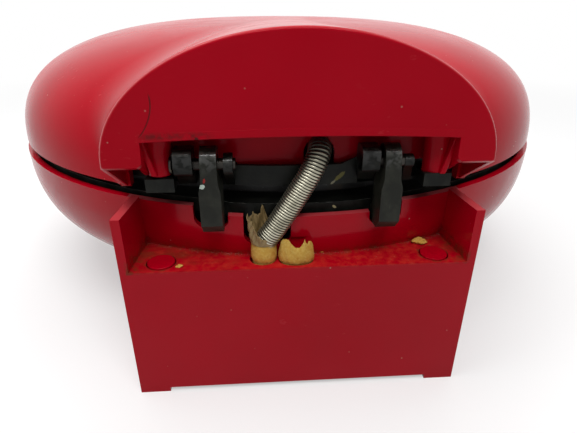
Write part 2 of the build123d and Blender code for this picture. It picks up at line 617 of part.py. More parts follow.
def hinge_arm(side):
    """Arm bolted under the base frame, out through the slot and up to the hinge pin."""
    low_x, high_x = side * ARM_X - ARM_T / 2, side * ARM_X + ARM_T / 2
    under = LOWER_FACE_Z - FRAME_FACE_T
    front = PIVOT_Y - ARM_HEAD_R
    outline = [(-ARM_ROOT_Y, ARM_FOOT_Z), (-ARM_REAR_Y + ARM_TOE, ARM_FOOT_Z),
               (-ARM_REAR_Y, ARM_FOOT_Z + ARM_TOE), (-ARM_REAR_Y, PIVOT_Z - ARM_NECK),
               (-PIVOT_Y - ARM_HEAD_R, PIVOT_Z), (-front, PIVOT_Z), (-front, under + ARM_INSIDE),
               (-front + ARM_INSIDE, under), (-ARM_ROOT_Y, under)]
    body = side_plate(outline, low_x, high_x) + cross_rod(low_x, high_x, -PIVOT_Y, PIVOT_Z, ARM_HEAD_R)
    # The head is narrower than the foot, with sloping shoulders.
    step = (ARM_T - ARM_TOP_T) / 2
    for edge, sign in ((low_x, 1), (high_x, -1)):
        out, over = edge - sign * OVER, PIVOT_Z + ARM_HEAD_R + OVER
        wedge = Polyline((edge, 0, PIVOT_Z - SHOULDER_LOW), (edge + sign * step, 0, PIVOT_Z - SHOULDER_HIGH),
                         (edge + sign * step, 0, over), (out, 0, over), (out, 0, PIVOT_Z - SHOULDER_LOW),
                         close=True)
        body -= Pos(0, -REAR_Y - OVER, 0) * extrude(make_face(wedge), 3 * PIVOT_SET_IN, dir=(0, 1, 0))
    body -= cross_rod(low_x - 1, high_x + 1, -PIVOT_Y, PIVOT_Z, PIN_R + PIN_FIT)
    return body - rod(side * ARM_X, -ARM_SCREW_Y, ARM_FOOT_Z - 1, under + 1, SCREW_R + SMALL_FIT / 2)


def hinge_arm_screws():
    under = LOWER_FACE_Z - FRAME_FACE_T
    return [screw(side * ARM_X, -ARM_SCREW_Y, ARM_FOOT_Z, under - ARM_FOOT_Z + FRAME_FACE_T, 1)
            for side in (-1, 1)]


def base_frame():
    """Frame of the lower plate, with room for the hinge arms under its face."""
    body = plate_frame(LOWER_SKIRT, FRAME_SCREW_ANGLES)
    under = LOWER_FACE_Z - FRAME_FACE_T
    for side in (-1, 1):
        body -= box_between((side * ARM_X - ARM_T / 2 - SMALL_FIT, -REAR_Y, SKIRT_LOW_Z - 2 * OVER),
                            (side * ARM_X + ARM_T / 2 + SMALL_FIT, -ARM_ROOT_Y + SMALL_FIT, under))
        body -= rod(side * ARM_X, -ARM_SCREW_Y, under - 1, LOWER_FACE_Z + 1, SCREW_R)
    return body


def web(low_x, high_x, reach, web_top):
    """Plate between the lid frame and a form of a given half height about the hinge pin."""
    face = 2 * MEET_Z - LOWER_FACE_Z
    return side_plate([(-KNUCKLE_ROOT_Y, face), (-PIVOT_Y + reach / 2, face + SMALL_FIT),
                       (-PIVOT_Y - reach / 2, PIVOT_Z - reach * 0.7), (-PIVOT_Y, PIVOT_Z),
                       (-PIVOT_Y + reach * 0.9, web_top), (-KNUCKLE_ROOT_Y, web_top)], low_x, high_x)


def knuckle(low_x, high_x, web_top):
    """Square knuckle with round corners about the hinge pin, and its web."""
    block = box_between((low_x, -PIVOT_Y - KNUCKLE_HALF, PIVOT_Z - KNUCKLE_HALF),
                        (high_x, -PIVOT_Y + KNUCKLE_HALF, PIVOT_Z + KNUCKLE_HALF))
    block = fillet(block.edges().filter_by(Axis.X), KNUCKLE_CORNER_R)
    return block + web(low_x, high_x, KNUCKLE_HALF, web_top)


def lug(low_x, high_x, web_top):
    """Round lug about the hinge pin, and its web."""
    return cross_rod(low_x, high_x, -PIVOT_Y, PIVOT_Z, LUG_R) + web(low_x, high_x, LUG_R, web_top)


def pin_span(side):
    """Ends of one hinge pin: from the outside of the knuckle to the outside of the lug."""
    arm_low, arm_high = side * ARM_X - ARM_T / 2, side * ARM_X + ARM_T / 2
    return arm_low - KNUCKLE_CLEAR - KNUCKLE_T, arm_high + LUG_CLEAR + LUG_T


def hinge_pin(side):
    low_x, high_x = pin_span(side)
    return (cross_rod(low_x - PIN_HEAD_T, high_x + PIN_HEAD_T, -PIVOT_Y, PIVOT_Z, PIN_R)
            + cross_rod(low_x - PIN_HEAD_T, low_x, -PIVOT_Y, PIVOT_Z, PIN_HEAD_R))


def lid_frame():
    """Frame of the upper plate with the hinge knuckles, lugs and the pads under the rear bosses."""
    body = mirror(plate_frame(UPPER_SKIRT, LID_SCREW_ANGLES), MEET_PLANE)
    web_top = 2 * MEET_Z - LOWER_FACE_Z + UPPER_SKIRT
    for side in (-1, 1):
        low_x, high_x = pin_span(side)
        body += knuckle(low_x, low_x + KNUCKLE_T, web_top)
        body += lug(high_x - LUG_T, high_x, web_top)
        body -= cross_rod(low_x - 1, high_x + 1, -PIVOT_Y, PIVOT_Z, PIN_R + 0.01)
        body += box_between((side * BOSS_X - PAD_HALF_W, -BOSS_Y - PAD_HALF_W, PAD_LOW_Z),
                            (side * BOSS_X + PAD_HALF_W, -BOSS_Y + PAD_HALF_W, BOSS_LOW_Z))
        neck = sorted((side * (BOSS_X - PAD_HALF_W), side * (HOOD_OPEN_HALF_W - 2 * SMALL_FIT)))
        body += box_between((neck[0], -BOSS_Y, PAD_LOW_Z),
                            (neck[1], -FRAME_BORE_R + FRAME_WALL_T, BOSS_LOW_Z))
        body -= rod(side * BOSS_X, -BOSS_Y, PAD_LOW_Z - 1, BOSS_LOW_Z + 1, SCREW_R + SMALL_FIT / 2)
        body -= rod(side * BOSS_X, -BOSS_Y, PAD_LOW_Z - 1, PAD_LOW_Z + SCREW_HEAD_H, SCREW_HEAD_R + SMALL_FIT)
    return body - mirror(rod(0, 0, PLATE_BACK_Z, PLATE_TOP_Z + OVER, FRAME_BORE_R), MEET_PLANE)


def lid_frame_screws():
    """Two screws at the front of the lid frame and two up through the rear pads."""
    front = [mirror(piece, MEET_PLANE) for piece in frame_screws(LID_SCREW_ANGLES)]
    return front + [screw(side * BOSS_X, -BOSS_Y, PAD_LOW_Z + SCREW_HEAD_H, SCREW_L, 1) for side in (-1, 1)]


def dome(inset=0.0, skirt=0.0):
    return crown_solid(LID_R - inset, 0, DOME_HEIGHT - inset, DOME_POWER, skirt)


def hood(inset=0.0):
    """Tunnel from the flat rear face of the lid, sinking forward into the dome."""
    half_w, rise, rear = HOOD_HALF_W - inset, HOOD_RISE - inset, -REAR_Y + inset
    arch = Plane.XZ.offset(-rear) * Pos(0, HOOD_SPRING_Z) * Ellipse(half_w, rise)
    body = extrude(arch, HOOD_LENGTH, dir=Vector(0, HOOD_LENGTH, -HOOD_FALL).normalized())
    body = body & box_between((-half_w, rear, HOOD_SPRING_Z), (half_w, 0, DOME_HEIGHT + HOOD_RISE))
    return body + box_between((-half_w, rear, -OVER), (half_w, -BOWL_FLAT_R, HOOD_SPRING_Z))


def under_cheeks(lift):
    """Everything below the sloping underside of the cheeks, raised by a lift."""
    low = -2 * OVER
    return side_plate([(-REAR_Y - OVER, CHEEK_BACK_Z + lift + OVER * CHEEK_SLOPE),
                       (-CHEEK_FRONT_Y, LID_GAP + lift), (-CHEEK_FRONT_Y, low), (-REAR_Y - OVER, low)],
                      -HOOD_HALF_W - 1, HOOD_HALF_W + 1)


def lid_shell():
    """Dome with its rear hood, hinge recess, cheeks and screw bosses, moulded in one."""
    outer = (dome(0, 2 * OVER) + hood()) - under_cheeks(0)
    outer -= box_between((-RIM_R, -REAR_Y - OVER, -3 * OVER), (RIM_R, RIM_R, LID_GAP))
    high = DOME_HEIGHT + HOOD_RISE
    wall_y, face_y = -INNER_WALL_Y + WALL, -REAR_Y
    inside = dome(WALL, 2 * OVER) + (hood(WALL) - under_cheeks(WALL))
    inside -= box_between((-HOOD_HALF_W, -INNER_WALL_Y, INNER_WALL_Z), (HOOD_HALF_W, wall_y, high))
    for side in (-1, 1):
        edges = sorted((side * HOOD_OPEN_HALF_W, side * (HOOD_OPEN_HALF_W + WALL)))
        inside -= box_between((edges[0], face_y, INNER_WALL_Z - RECESS_RISE), (edges[1], wall_y, high))
        inside -= rod(side * BOSS_X, -BOSS_Y, BOSS_LOW_Z, high, REAR_BOSS_R)
    for angle in LID_SCREW_ANGLES:
        x, y = polar(FRAME_SCREW_R, angle)
        inside -= rod(x, y, 2 * MEET_Z - SKIRT_LOW_Z + UPPER_SKIRT - LOWER_SKIRT, high, POST_R)
    body = outer - inside
    # Hinge recess, open to the rear and below.
    top = Polyline((-HOOD_OPEN_HALF_W, 0, HOOD_OPEN_Z), (-HOOD_OPEN_HALF_W, 0, 0), (HOOD_OPEN_HALF_W, 0, 0),
                   (HOOD_OPEN_HALF_W, 0, HOOD_OPEN_Z))
    bow = ThreePointArc((-HOOD_OPEN_HALF_W, 0, HOOD_OPEN_Z), (0, 0, HOOD_OPEN_Z + RECESS_BOW),
                        (HOOD_OPEN_HALF_W, 0, HOOD_OPEN_Z))
    mouth = Pos(0, face_y - OVER, 0) * extrude(make_face([top, bow]), OVER + WALL, dir=(0, 1, 0))
    recess = mouth + box_between((-HOOD_OPEN_HALF_W, face_y - OVER, 0),
                                 (HOOD_OPEN_HALF_W, -INNER_WALL_Y, HOOD_OPEN_Z))
    recess += box_between((-HOOD_OPEN_HALF_W, face_y - OVER, 0),
                          (HOOD_OPEN_HALF_W, wall_y + RECESS_FRONT, INNER_WALL_Z))
    for side in (-1, 1):
        recess -= rod(side * BOSS_X, -BOSS_Y, BOSS_LOW_Z, high, REAR_BOSS_R)
    body -= recess
    for side in (-1, 1):
        body += rod(side * BOSS_X, -BOSS_Y, BOSS_LOW_Z, HOOD_OPEN_Z, REAR_BOSS_R)
    # Way for the conduit through the inner wall.
    top_x, _, top_z = CONDUIT_TOP
    notch_w = CONDUIT_R + CONDUIT_NOTCH
    body -= box_between((top_x - notch_w, -INNER_WALL_Y - 1, 0), (top_x + notch_w, wall_y + 1, top_z))
    body -= Pos(top_x, -INNER_WALL_Y + WALL / 2, top_z) * Rot(90, 0, 0) * Cylinder(notch_w, WALL + 2)
    # Screw holes, lens holes and handle holes.
    for side in (-1, 1):
        body -= rod(side * BOSS_X, -BOSS_Y, 0, PAD_LOW_Z + SCREW_HEAD_H + SCREW_L + 1, SCREW_R)
        body -= rod(side * LENS_X, LENS_Y, LENS_BACK_Z - LAMP_L, high, LENS_R + SMALL_FIT)
        body -= Pos(side * HANDLE_SCREW_X, RIM_R, HANDLE_HIGH_SCREW_Z) * Rot(90, 0, 0) * Cylinder(
            SCREW_R + SMALL_FIT, 2 * HANDLE_LENGTH)
    for angle in LID_SCREW_ANGLES:
        x, y = polar(FRAME_SCREW_R, angle)
        body -= rod(x, y, 0, 2 * MEET_Z - LOWER_FACE_Z + SCREW_HEAD_H + SCREW_L + 1, SCREW_R)
    # Tab beside the conduit.
    tab = box_between((top_x + notch_w, -INNER_WALL_Y, INNER_WALL_Z - TAB_DROP),
                      (top_x + notch_w + TAB_W, wall_y, INNER_WALL_Z))
    return body + tab


def lens(side):
    """Indicator lens: a domed pin that stands proud of the lid, with a flange against its inside."""
    x, y = side * LENS_X, LENS_Y
    high = DOME_HEIGHT + OVER
    pin = rod(x, y, LENS_BACK_Z, high, LENS_R) & dome(-LENS_PROUD)
    flange = rod(x, y, LENS_BACK_Z, high, LENS_RIM_R) & dome(WALL + 0.02)
    return pin + flange


def indicator_lamps():
    return [rod(side * LENS_X, LENS_Y, LENS_BACK_Z - LAMP_L, LENS_BACK_Z, LAMP_R) for side in (-1, 1)]


def handle_block(low, high):
    """Rounded grip in plan, from inside the shell out to the reach."""
    side_w, tip_w = HANDLE_HALF_W - HANDLE_DRAFT, HANDLE_HALF_W - HANDLE_TIP_W
    corner_y = HANDLE_REACH - HANDLE_TIP_L
    plan = Polyline((-HANDLE_HALF_W, HANDLE_ROOT_Y, low), (-side_w, corner_y, low),
                    (-tip_w, HANDLE_REACH, low), (tip_w, HANDLE_REACH, low), (side_w, corner_y, low),
                    (HANDLE_HALF_W, HANDLE_ROOT_Y, low), close=True)
    block = extrude(make_face(plan), high - low, dir=(0, 0, 1))
    uprights = block.edges().filter_by(Axis.Z).filter_by(lambda e: e.center().Y > HANDLE_ROOT_Y + 5)
    block = fillet(uprights, HANDLE_CORNER_R)
    outer = [e for e in block.edges().group_by(Axis.Z)[-1] + block.edges().group_by(Axis.Z)[0]
             if e.center().Y > HANDLE_ROOT_Y + 1]
    return block, outer


def clip_slot(low, high, back_y):
    half_w = CLIP_HALF_W + CLIP_CLEAR
    return box_between((-half_w, back_y, low), (half_w, HANDLE_REACH + OVER, high))


def base_handle():
    """Lower grip, screwed to the front of the base, with the slot and bore of the clip."""
    high = MEET_Z - HANDLE_SPLIT
    low = high - HANDLE_T
    block, outer = handle_block(low, high)
    block = fillet(outer, HANDLE_EDGE_R)
    block -= crown_solid(RIM_R + 0.05, BOWL_FLAT_R, -BOWL_DEPTH, BOWL_POWER, high + 1)
    block -= clip_slot(low - 1, high + 1, CLIP_PIN_Y - CLIP_BARREL_R - CLIP_CLEAR)
    block -= cross_rod(-CLIP_PIN_L / 2, CLIP_PIN_L / 2, CLIP_PIN_Y, CLIP_PIN_Z, CLIP_PIN_R + 0.01)
    for side in (-1, 1):
        block -= Pos(side * HANDLE_SCREW_X, RIM_R + HANDLE_SCREW_BITE / 2 - 4, HANDLE_LOW_SCREW_Z) * Rot(
            90, 0, 0) * Cylinder(SCREW_R, HANDLE_SCREW_BITE + 8)
    return largest(block)


def lid_handle():
    """Upper grip, screwed to the front of the lid, with the step that the clip hooks over."""
    low = MEET_Z + HANDLE_SPLIT
    high = low + HANDLE_T
    block, outer = handle_block(low, high)
    block = fillet(outer, HANDLE_EDGE_R)
    block -= crown_solid(LID_R + 0.05, 0, DOME_HEIGHT + 0.05, DOME_POWER, 2 * OVER)
    block -= clip_slot(low - 1, high + 1, CLIP_PIN_Y - CLIP_T / 2 - CLIP_CLEAR)
    hook_low = CLIP_PIN_Z + CLIP_L - CLIP_HOOK_T
    block -= clip_slot(hook_low - CLIP_CLEAR, high + 1, CLIP_PIN_Y - CLIP_T / 2 - CLIP_HOOK - CLIP_CLEAR)
    for side in (-1, 1):
        block -= Pos(side * HANDLE_SCREW_X, LID_R + HANDLE_SCREW_BITE / 2 - 4, HANDLE_HIGH_SCREW_Z) * Rot(
            90, 0, 0) * Cylinder(SCREW_R, HANDLE_SCREW_BITE + 8)
    return largest(block)


def largest(shape):
    """The biggest solid of a shape."""
    return max(shape.solids(), key=lambda solid: solid.volume)


def handle_screws(z, inner_r):
    """Screws from inside a shell into its handle."""
    pieces = []
    seat_y = math.sqrt(inner_r ** 2 - (HANDLE_SCREW_X + SCREW_HEAD_R) ** 2)
    for side in (-1, 1):
        upright = screw(0, 0, 0, RIM_R + HANDLE_SCREW_BITE - 1 - seat_y, 1)
        pieces.append(Pos(side * HANDLE_SCREW_X, seat_y, z) * Rot(-90, 0, 0) * upright)
    return pieces


def clip_pin():
    return cross_rod(-CLIP_PIN_L / 2, CLIP_PIN_L / 2, CLIP_PIN_Y, CLIP_PIN_Z, CLIP_PIN_R)


def latch_clip():
    """Swing clip, hanging from its pin; turned up, its hook closes over the lid handle."""
    y, z = CLIP_PIN_Y, CLIP_PIN_Z
    body = box_between((-CLIP_HALF_W, y - CLIP_T / 2, z - CLIP_L), (CLIP_HALF_W, y + CLIP_T / 2, z))
    body += cross_rod(-CLIP_HALF_W, CLIP_HALF_W, y, z, CLIP_BARREL_R)
    body += box_between((-CLIP_HALF_W, y, z - CLIP_L),
                        (CLIP_HALF_W, y + CLIP_T / 2 + CLIP_HOOK, z - CLIP_L + CLIP_HOOK_T))
    body = fillet(body.edges().filter_by(Axis.Y).group_by(Axis.Z)[0], CLIP_CORNER_R)
    return body - cross_rod(-CLIP_HALF_W - 1, CLIP_HALF_W + 1, y, z, CLIP_PIN_R + PIN_FIT)


def conduit_sleeve():
    """Tapered sleeve round the foot of the conduit."""
    low = SHELF_Z - SLEEVE_SINK
    body = Cone(SLEEVE_R, SLEEVE_TOP_R, SLEEVE_TOP_Z - low)
    body = Pos(CONDUIT_X, -CONDUIT_Y, (low + SLEEVE_TOP_Z) / 2) * body
    return body - rod(CONDUIT_X, -CONDUIT_Y, low - 1, SLEEVE_TOP_Z + 1, CONDUIT_R + SMALL_FIT / 2)


def cord_gland():
    """Short oval gland with a ragged upper edge."""
    body = gland_plan(0, SHELF_Z - SLEEVE_SINK, GLAND_TOP_Z)
    body -= rod(GLAND_X, -GLAND_Y, SHELF_Z - SLEEVE_SINK - 1, GLAND_TOP_Z + 1, GLAND_BORE_R)
    for turn, depth in ((15, 1.4), (75, 0.7), (130, 1.8), (200, 1.0), (255, 2.1), (310, 0.9)):
        notch = Pos(GLAND_X, -GLAND_Y, GLAND_TOP_Z) * Rot(0, 0, turn) * Pos(GLAND_HALF_W / 2 + 1, 0, 0) * Rot(
            45, 0, 0) * Box(GLAND_HALF_W + 2, depth, depth)
        body -= notch
    return body


def conduit_leads():
    """Insulated bundle inside the conduit."""
    path = conduit_path()
    return sweep(Plane(path @ 0, z_dir=path % 0) * Circle(LEAD_BUNDLE_R), path=path)


def coil_samples(per_turn):
    """Points and tangents on the spring's wire, at an even number of steps for each curl."""
    path = conduit_path()
    length = path.length
    turns = int(length / SPRING_PITCH)
    coil_r = CONDUIT_R - SPRING_WIRE_R
    steps = turns * per_turn
    fine = 8
    centres, normals = [], []
    tangent = path % 0
    normal = Vector(1, 0, 0)
    for i in range(steps * fine + 1):
        u = i / (steps * fine)
        here = path % u
        normal = (normal - here * normal.dot(here)).normalized()
        centres.append((path @ u, here))
        normals.append(normal)
    curve = []
    for i, ((centre, here), across) in enumerate(zip(centres, normals)):
        turn = 2 * math.pi * i / (per_turn * fine)
        other = here.cross(across)
        curve.append(centre + across * (coil_r * math.cos(turn)) + other * (coil_r * math.sin(turn)))
    samples = []
    for i in range(0, steps * fine + 1, fine):
        before, after = curve[max(0, i - 1)], curve[min(len(curve) - 1, i + 1)]
        samples.append((curve[i], (after - before).normalized()))
    return curve, samples, turns


def least_gap(curve, per_curl):
    """Smallest clear distance between neighbouring curls."""
    least = math.inf
    for i in range(0, len(curve), 3):
        for j in range(i + per_curl // 2, min(len(curve), i + per_curl * 3 // 2 + 2)):
            least = min(least, (curve[i] - curve[j]).length)
    return least - 2 * SPRING_WIRE_R


def conduit_spring():
    """One unbroken wound wire about the conduit's centre line."""
    per_turn = 4
    curve, samples, turns = coil_samples(per_turn)
    edges = []
    for (start, leaving), (end, arriving) in zip(samples, samples[1:]):
        gap = end - start
        both = leaving + arriving
        spread = 2 * (1 - leaving.dot(arriving))
        along = gap.dot(both)
        reach = (-along + math.sqrt(along ** 2 + spread * gap.dot(gap))) / spread
        first, second = start + leaving * reach, end - arriving * reach
        middle = (first + second) * 0.5
        edges.append(Edge.make_tangent_arc(start, leaving, middle))
        edges.append(Edge.make_tangent_arc(middle, (second - first).normalized(), end))
    wire = Wire(edges)
    point, leaving = samples[0]
    body = sweep(Plane(point, z_dir=leaving) * Circle(SPRING_WIRE_R), path=wire)
    ideal = math.pi * SPRING_WIRE_R ** 2 * wire.length
    print(f"spring curls {turns}, least gap {least_gap(curve, per_turn * 8):.3f} mm, "
          f"volume {body.volume:.1f} against {ideal:.1f} mm3")
    return body


def upper(pieces):
    """Pieces of the lower position mirrored to the upper one."""
    return [mirror(piece, MEET_PLANE) for piece in pieces]


def main():
    os.makedirs("parts", exist_ok=True)
    base_inner_r = RIM_R - WALL - 2 * SMALL_FIT
    lid_inner_r = crown_radius(LID_R - WALL, DOME_HEIGHT - WALL, DOME_POWER,
                               HANDLE_HIGH_SCREW_Z + SCREW_HEAD_R)
    pieces = {
        "base_shell": [base_shell()],
        "stand_cover": [stand_cover()],
        "stand_cover_screws": stand_cover_screws(),
        "shelf_plugs": shelf_plugs(),
        "front_foot_left": [front_foot(-1)],
        "front_foot_right": [front_foot(1)],
        "base_frame": [base_frame()],
        "base_frame_screws": frame_screws(FRAME_SCREW_ANGLES),
        "hinge_arm_left": [hinge_arm(-1)],
        "hinge_arm_right": [hinge_arm(1)],
        "hinge_arm_screws": hinge_arm_screws(),
        "lower_plate": [cooking_plate()],
        "lower_plate_screws": plate_screws(),
        "lower_element": [element()],
        "lower_reflector": [reflector()],
        "lower_reflector_screw": [reflector_screw()],
        "thermostat": [thermostat()],
        "thermal_fuse": [thermal_fuse()],
        "lower_leads": lower_leads(),
        "base_handle": [base_handle()],
        "base_handle_screws": handle_screws(HANDLE_LOW_SCREW_Z, base_inner_r),
        "clip_pin": [clip_pin()],
        "latch_clip": [latch_clip()],
        "conduit_sleeve": [conduit_sleeve()],
        "cord_gland": [cord_gland()],
        "lid_shell": [lid_shell()],
        "lid_frame": [lid_frame()],
        "lid_frame_screws": lid_frame_screws(),
        "hinge_pin_left": [hinge_pin(-1)],
        "hinge_pin_right": [hinge_pin(1)],
        "upper_plate": upper([cooking_plate()]),
        "upper_plate_screws": upper(plate_screws()),
        "upper_element": upper([element()]),
        "upper_reflector": upper([reflector()]),
        "upper_reflector_screw": upper([reflector_screw()]),
        "upper_leads": upper_leads(),
        "power_lens": [lens(-1)],
        "ready_lens": [lens(1)],
        "indicator_lamps": indicator_lamps(),
        "lid_handle": [lid_handle()],
        "lid_handle_screws": handle_screws(HANDLE_HIGH_SCREW_Z, lid_inner_r - SMALL_FIT / 2),
        "conduit_leads": [conduit_leads()],
        "conduit_spring": [conduit_spring()],
    }
    for name, shapes in pieces.items():
        write(name, shapes)


if __name__ == "__main__":
    main()
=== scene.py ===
"""Dresses a red countertop quesadilla cooker: moulded shells, hinge, wound conduit, plates and fittings.

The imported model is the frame. Lengths in the classes are in millimetres, and Blender's are in metres.
"""
from __future__ import annotations

import json
import logging
import math
from dataclasses import dataclass, replace
from enum import Enum
from typing import Callable, Iterable, Sequence

import bpy
import numpy as np
from mathutils import Matrix, Vector

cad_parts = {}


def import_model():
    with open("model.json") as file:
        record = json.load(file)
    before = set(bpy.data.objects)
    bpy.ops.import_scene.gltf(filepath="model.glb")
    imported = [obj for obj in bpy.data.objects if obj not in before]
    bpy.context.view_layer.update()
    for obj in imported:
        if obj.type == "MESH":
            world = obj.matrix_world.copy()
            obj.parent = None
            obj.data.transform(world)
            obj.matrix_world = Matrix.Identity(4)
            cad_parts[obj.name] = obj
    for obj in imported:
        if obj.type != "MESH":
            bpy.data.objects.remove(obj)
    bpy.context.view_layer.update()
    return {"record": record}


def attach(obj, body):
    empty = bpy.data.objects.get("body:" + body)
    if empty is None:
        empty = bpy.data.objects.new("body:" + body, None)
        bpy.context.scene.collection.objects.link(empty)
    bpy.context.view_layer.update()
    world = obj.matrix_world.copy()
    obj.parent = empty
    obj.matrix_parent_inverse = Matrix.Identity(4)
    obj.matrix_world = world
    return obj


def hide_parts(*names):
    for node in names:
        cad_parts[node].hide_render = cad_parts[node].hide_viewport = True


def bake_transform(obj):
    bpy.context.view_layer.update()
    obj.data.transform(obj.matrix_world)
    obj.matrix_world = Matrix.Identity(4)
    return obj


log = logging.getLogger("cooker")
MM = 0.001
Point = tuple[float, float, float]
ORIGIN: Point = (0.0, -14.35, 75.0)


class Body(Enum):
    """The bodies that pieces ride on."""

    BASE = "base"
    LID = "lid"
    CLIP = "clip"


class Axis(Enum):
    """Ways that a cylinder can lie, as its turn from upright."""

    UPRIGHT = (0.0, 0.0, 0.0)
    BACKWARDS = (-math.pi / 2, 0.0, 0.0)


class Element(Enum):
    """What a selection in a mesh is made of."""

    VERTEX = "VERT"
    EDGE = "EDGE"
    FACE = "FACE"


class Way(Enum):
    """Ways that a tool works on a piece."""

    JOIN = "UNION"
    CUT = "DIFFERENCE"
    KEEP_SHARED = "INTERSECT"


class Mesher:
    """Modelling by operators: selection, primitives, cuts and modifiers on the active object."""

    weld_gap: float = 0.002
    flat_degrees: float = 0.4

    @staticmethod
    def clear() -> None:
        """Deselects every object."""
        bpy.ops.object.select_all(action="DESELECT")

    @staticmethod
    def activate(piece: bpy.types.Object) -> None:
        """Makes one object the only selected and the active one."""
        Mesher.clear()
        piece.select_set(True)
        bpy.context.view_layer.objects.active = piece

    @staticmethod
    def name(title: str) -> bpy.types.Object:
        """Names the active object and returns it."""
        piece = bpy.context.active_object
        piece.name = title
        piece.data.name = title
        return piece

    @staticmethod
    def settle(piece: bpy.types.Object) -> bpy.types.Object:
        """Applies a piece's place, turn and scale to its mesh."""
        Mesher.activate(piece)
        bpy.ops.object.transform_apply(location=True, rotation=True, scale=True)
        return piece

    @staticmethod
    def box(title: str, low: Sequence[float], high: Sequence[float]) -> bpy.types.Object:
        """Adds a box between two corners given in millimetres."""
        Mesher.clear()
        centre = [(a + b) / 2 * MM for a, b in zip(low, high)]
        size = [(b - a) * MM for a, b in zip(low, high)]
        bpy.ops.mesh.primitive_cube_add(size=1, location=centre)
        piece = Mesher.name(title)
        piece.scale = size
        return Mesher.settle(piece)

    @staticmethod
    def cylinder(title: str, centre: Sequence[float], radius: float, depth: float,
                 axis: Axis = Axis.UPRIGHT, sides: int = 48,
                 top_radius: float | None = None) -> bpy.types.Object:
        """Adds a cylinder or a cone frustum along an axis, with sizes in millimetres."""
        Mesher.clear()
        bpy.ops.mesh.primitive_cone_add(
            vertices=sides, radius1=radius * MM, radius2=(radius if top_radius is None else top_radius) * MM,
            depth=depth * MM, location=[c * MM for c in centre], rotation=axis.value)
        return Mesher.settle(Mesher.name(title))

    @staticmethod
    def apply(piece: bpy.types.Object, kind: str, **settings: object) -> bpy.types.Object:
        """Adds a modifier, sets it and applies it."""
        Mesher.activate(piece)
        modifier = piece.modifiers.new(kind, kind)
        for key, value in settings.items():
            setattr(modifier, key, value)
        bpy.ops.object.modifier_apply(modifier=modifier.name)
        return piece

    @staticmethod
    def combine(piece: bpy.types.Object, tool: bpy.types.Object, way: Way) -> bpy.types.Object:
        """Joins or cuts a piece with a tool, which is then deleted."""
        Mesher.apply(piece, "BOOLEAN", object=tool, operation=way.value, solver="EXACT")
        bpy.data.objects.remove(tool)
        return piece

    @staticmethod
    def slice(piece: bpy.types.Object, point: Sequence[float], normal: Sequence[float]) -> None:
        """Cuts away all on a plane's normal side and closes the cut. The point is in millimetres."""
        Mesher.activate(piece)
        bpy.ops.object.mode_set(mode="EDIT")
        bpy.ops.mesh.select_all(action="SELECT")
        bpy.ops.mesh.bisect(plane_co=[c * MM for c in point], plane_no=Vector(normal).normalized(),
                            use_fill=True, clear_outer=True)
        bpy.ops.object.mode_set(mode="OBJECT")

    @staticmethod
    def unpick(piece: bpy.types.Object, element: Element) -> None:
        """Deselects all of a piece's mesh, ready for a selection of one kind."""
        Mesher.activate(piece)
        bpy.ops.object.mode_set(mode="EDIT")
        bpy.ops.mesh.select_mode(type=element.value)
        bpy.ops.mesh.select_all(action="DESELECT")
        bpy.ops.object.mode_set(mode="OBJECT")

    @staticmethod
    def round_face(piece: bpy.types.Object, wanted: Callable[[bpy.types.MeshPolygon], bool],
                   radius: float, steps: int = 4) -> None:
        """Grows the wanted faces outwards by a radius over a rounded border."""
        Mesher.unpick(piece, Element.FACE)
        for polygon in piece.data.polygons:
            polygon.select = wanted(polygon)
        bpy.ops.object.mode_set(mode="EDIT")
        turns = [math.pi / 2 * i / steps for i in range(steps + 1)]
        for before, after in zip(turns, turns[1:]):
            inward = (math.cos(before) - math.cos(after)) * radius * MM
            outward = (math.sin(after) - math.sin(before)) * radius * MM
            bpy.ops.mesh.inset(thickness=inward, depth=outward, use_even_offset=True)
        bpy.ops.object.mode_set(mode="OBJECT")

    @staticmethod
    def bevel_edges(piece: bpy.types.Object, wanted: Callable[[Vector, Vector], bool], width: float,
                    segments: int = 3) -> None:
        """Bevels the edges whose two ends, in millimetres, a test wants."""
        Mesher.unpick(piece, Element.EDGE)
        vertices = piece.data.vertices
        for edge in piece.data.edges:
            first, second = (vertices[i].co / MM for i in edge.vertices)
            edge.select = wanted(first, second)
        bpy.ops.object.mode_set(mode="EDIT")
        bpy.ops.mesh.bevel(offset=width * MM, segments=segments, profile=0.5)
        bpy.ops.object.mode_set(mode="OBJECT")

    @staticmethod
    def smooth(piece: bpy.types.Object, degrees: float = 35.0) -> bpy.types.Object:
        """Shades a piece smooth, except across edges sharper than an angle, with flat faces kept flat."""
        Mesher.activate(piece)
        bpy.ops.object.shade_smooth_by_angle(angle=math.radians(degrees))
        return Mesher.apply(piece, "WEIGHTED_NORMAL", mode="FACE_AREA", weight=100, keep_sharp=True)

    @staticmethod
    def nudge(piece: bpy.types.Object, move: Callable[[np.ndarray], np.ndarray]) -> bpy.types.Object:
        """Moves a copied node's vertices by a rule on their places from the bowl's axis in millimetres."""
        flat = np.empty(len(piece.data.vertices) * 3)
        piece.data.vertices.foreach_get("co", flat)
        points = flat.reshape(-1, 3) / MM - np.array(ORIGIN)
        piece.data.vertices.foreach_set("co", ((move(points) + np.array(ORIGIN)) * MM).ravel())
        piece.data.update()
        return piece

    @staticmethod
    def tidy(piece: bpy.types.Object, distance: float = 0.01) -> bpy.types.Object:
        """Merges vertices closer than a distance in millimetres and faces all normals outwards."""
        Mesher.activate(piece)
        bpy.ops.object.mode_set(mode="EDIT")
        bpy.ops.mesh.select_all(action="SELECT")
        bpy.ops.mesh.remove_doubles(threshold=distance * MM)
        bpy.ops.mesh.normals_make_consistent(inside=False)
        bpy.ops.object.mode_set(mode="OBJECT")
        return piece

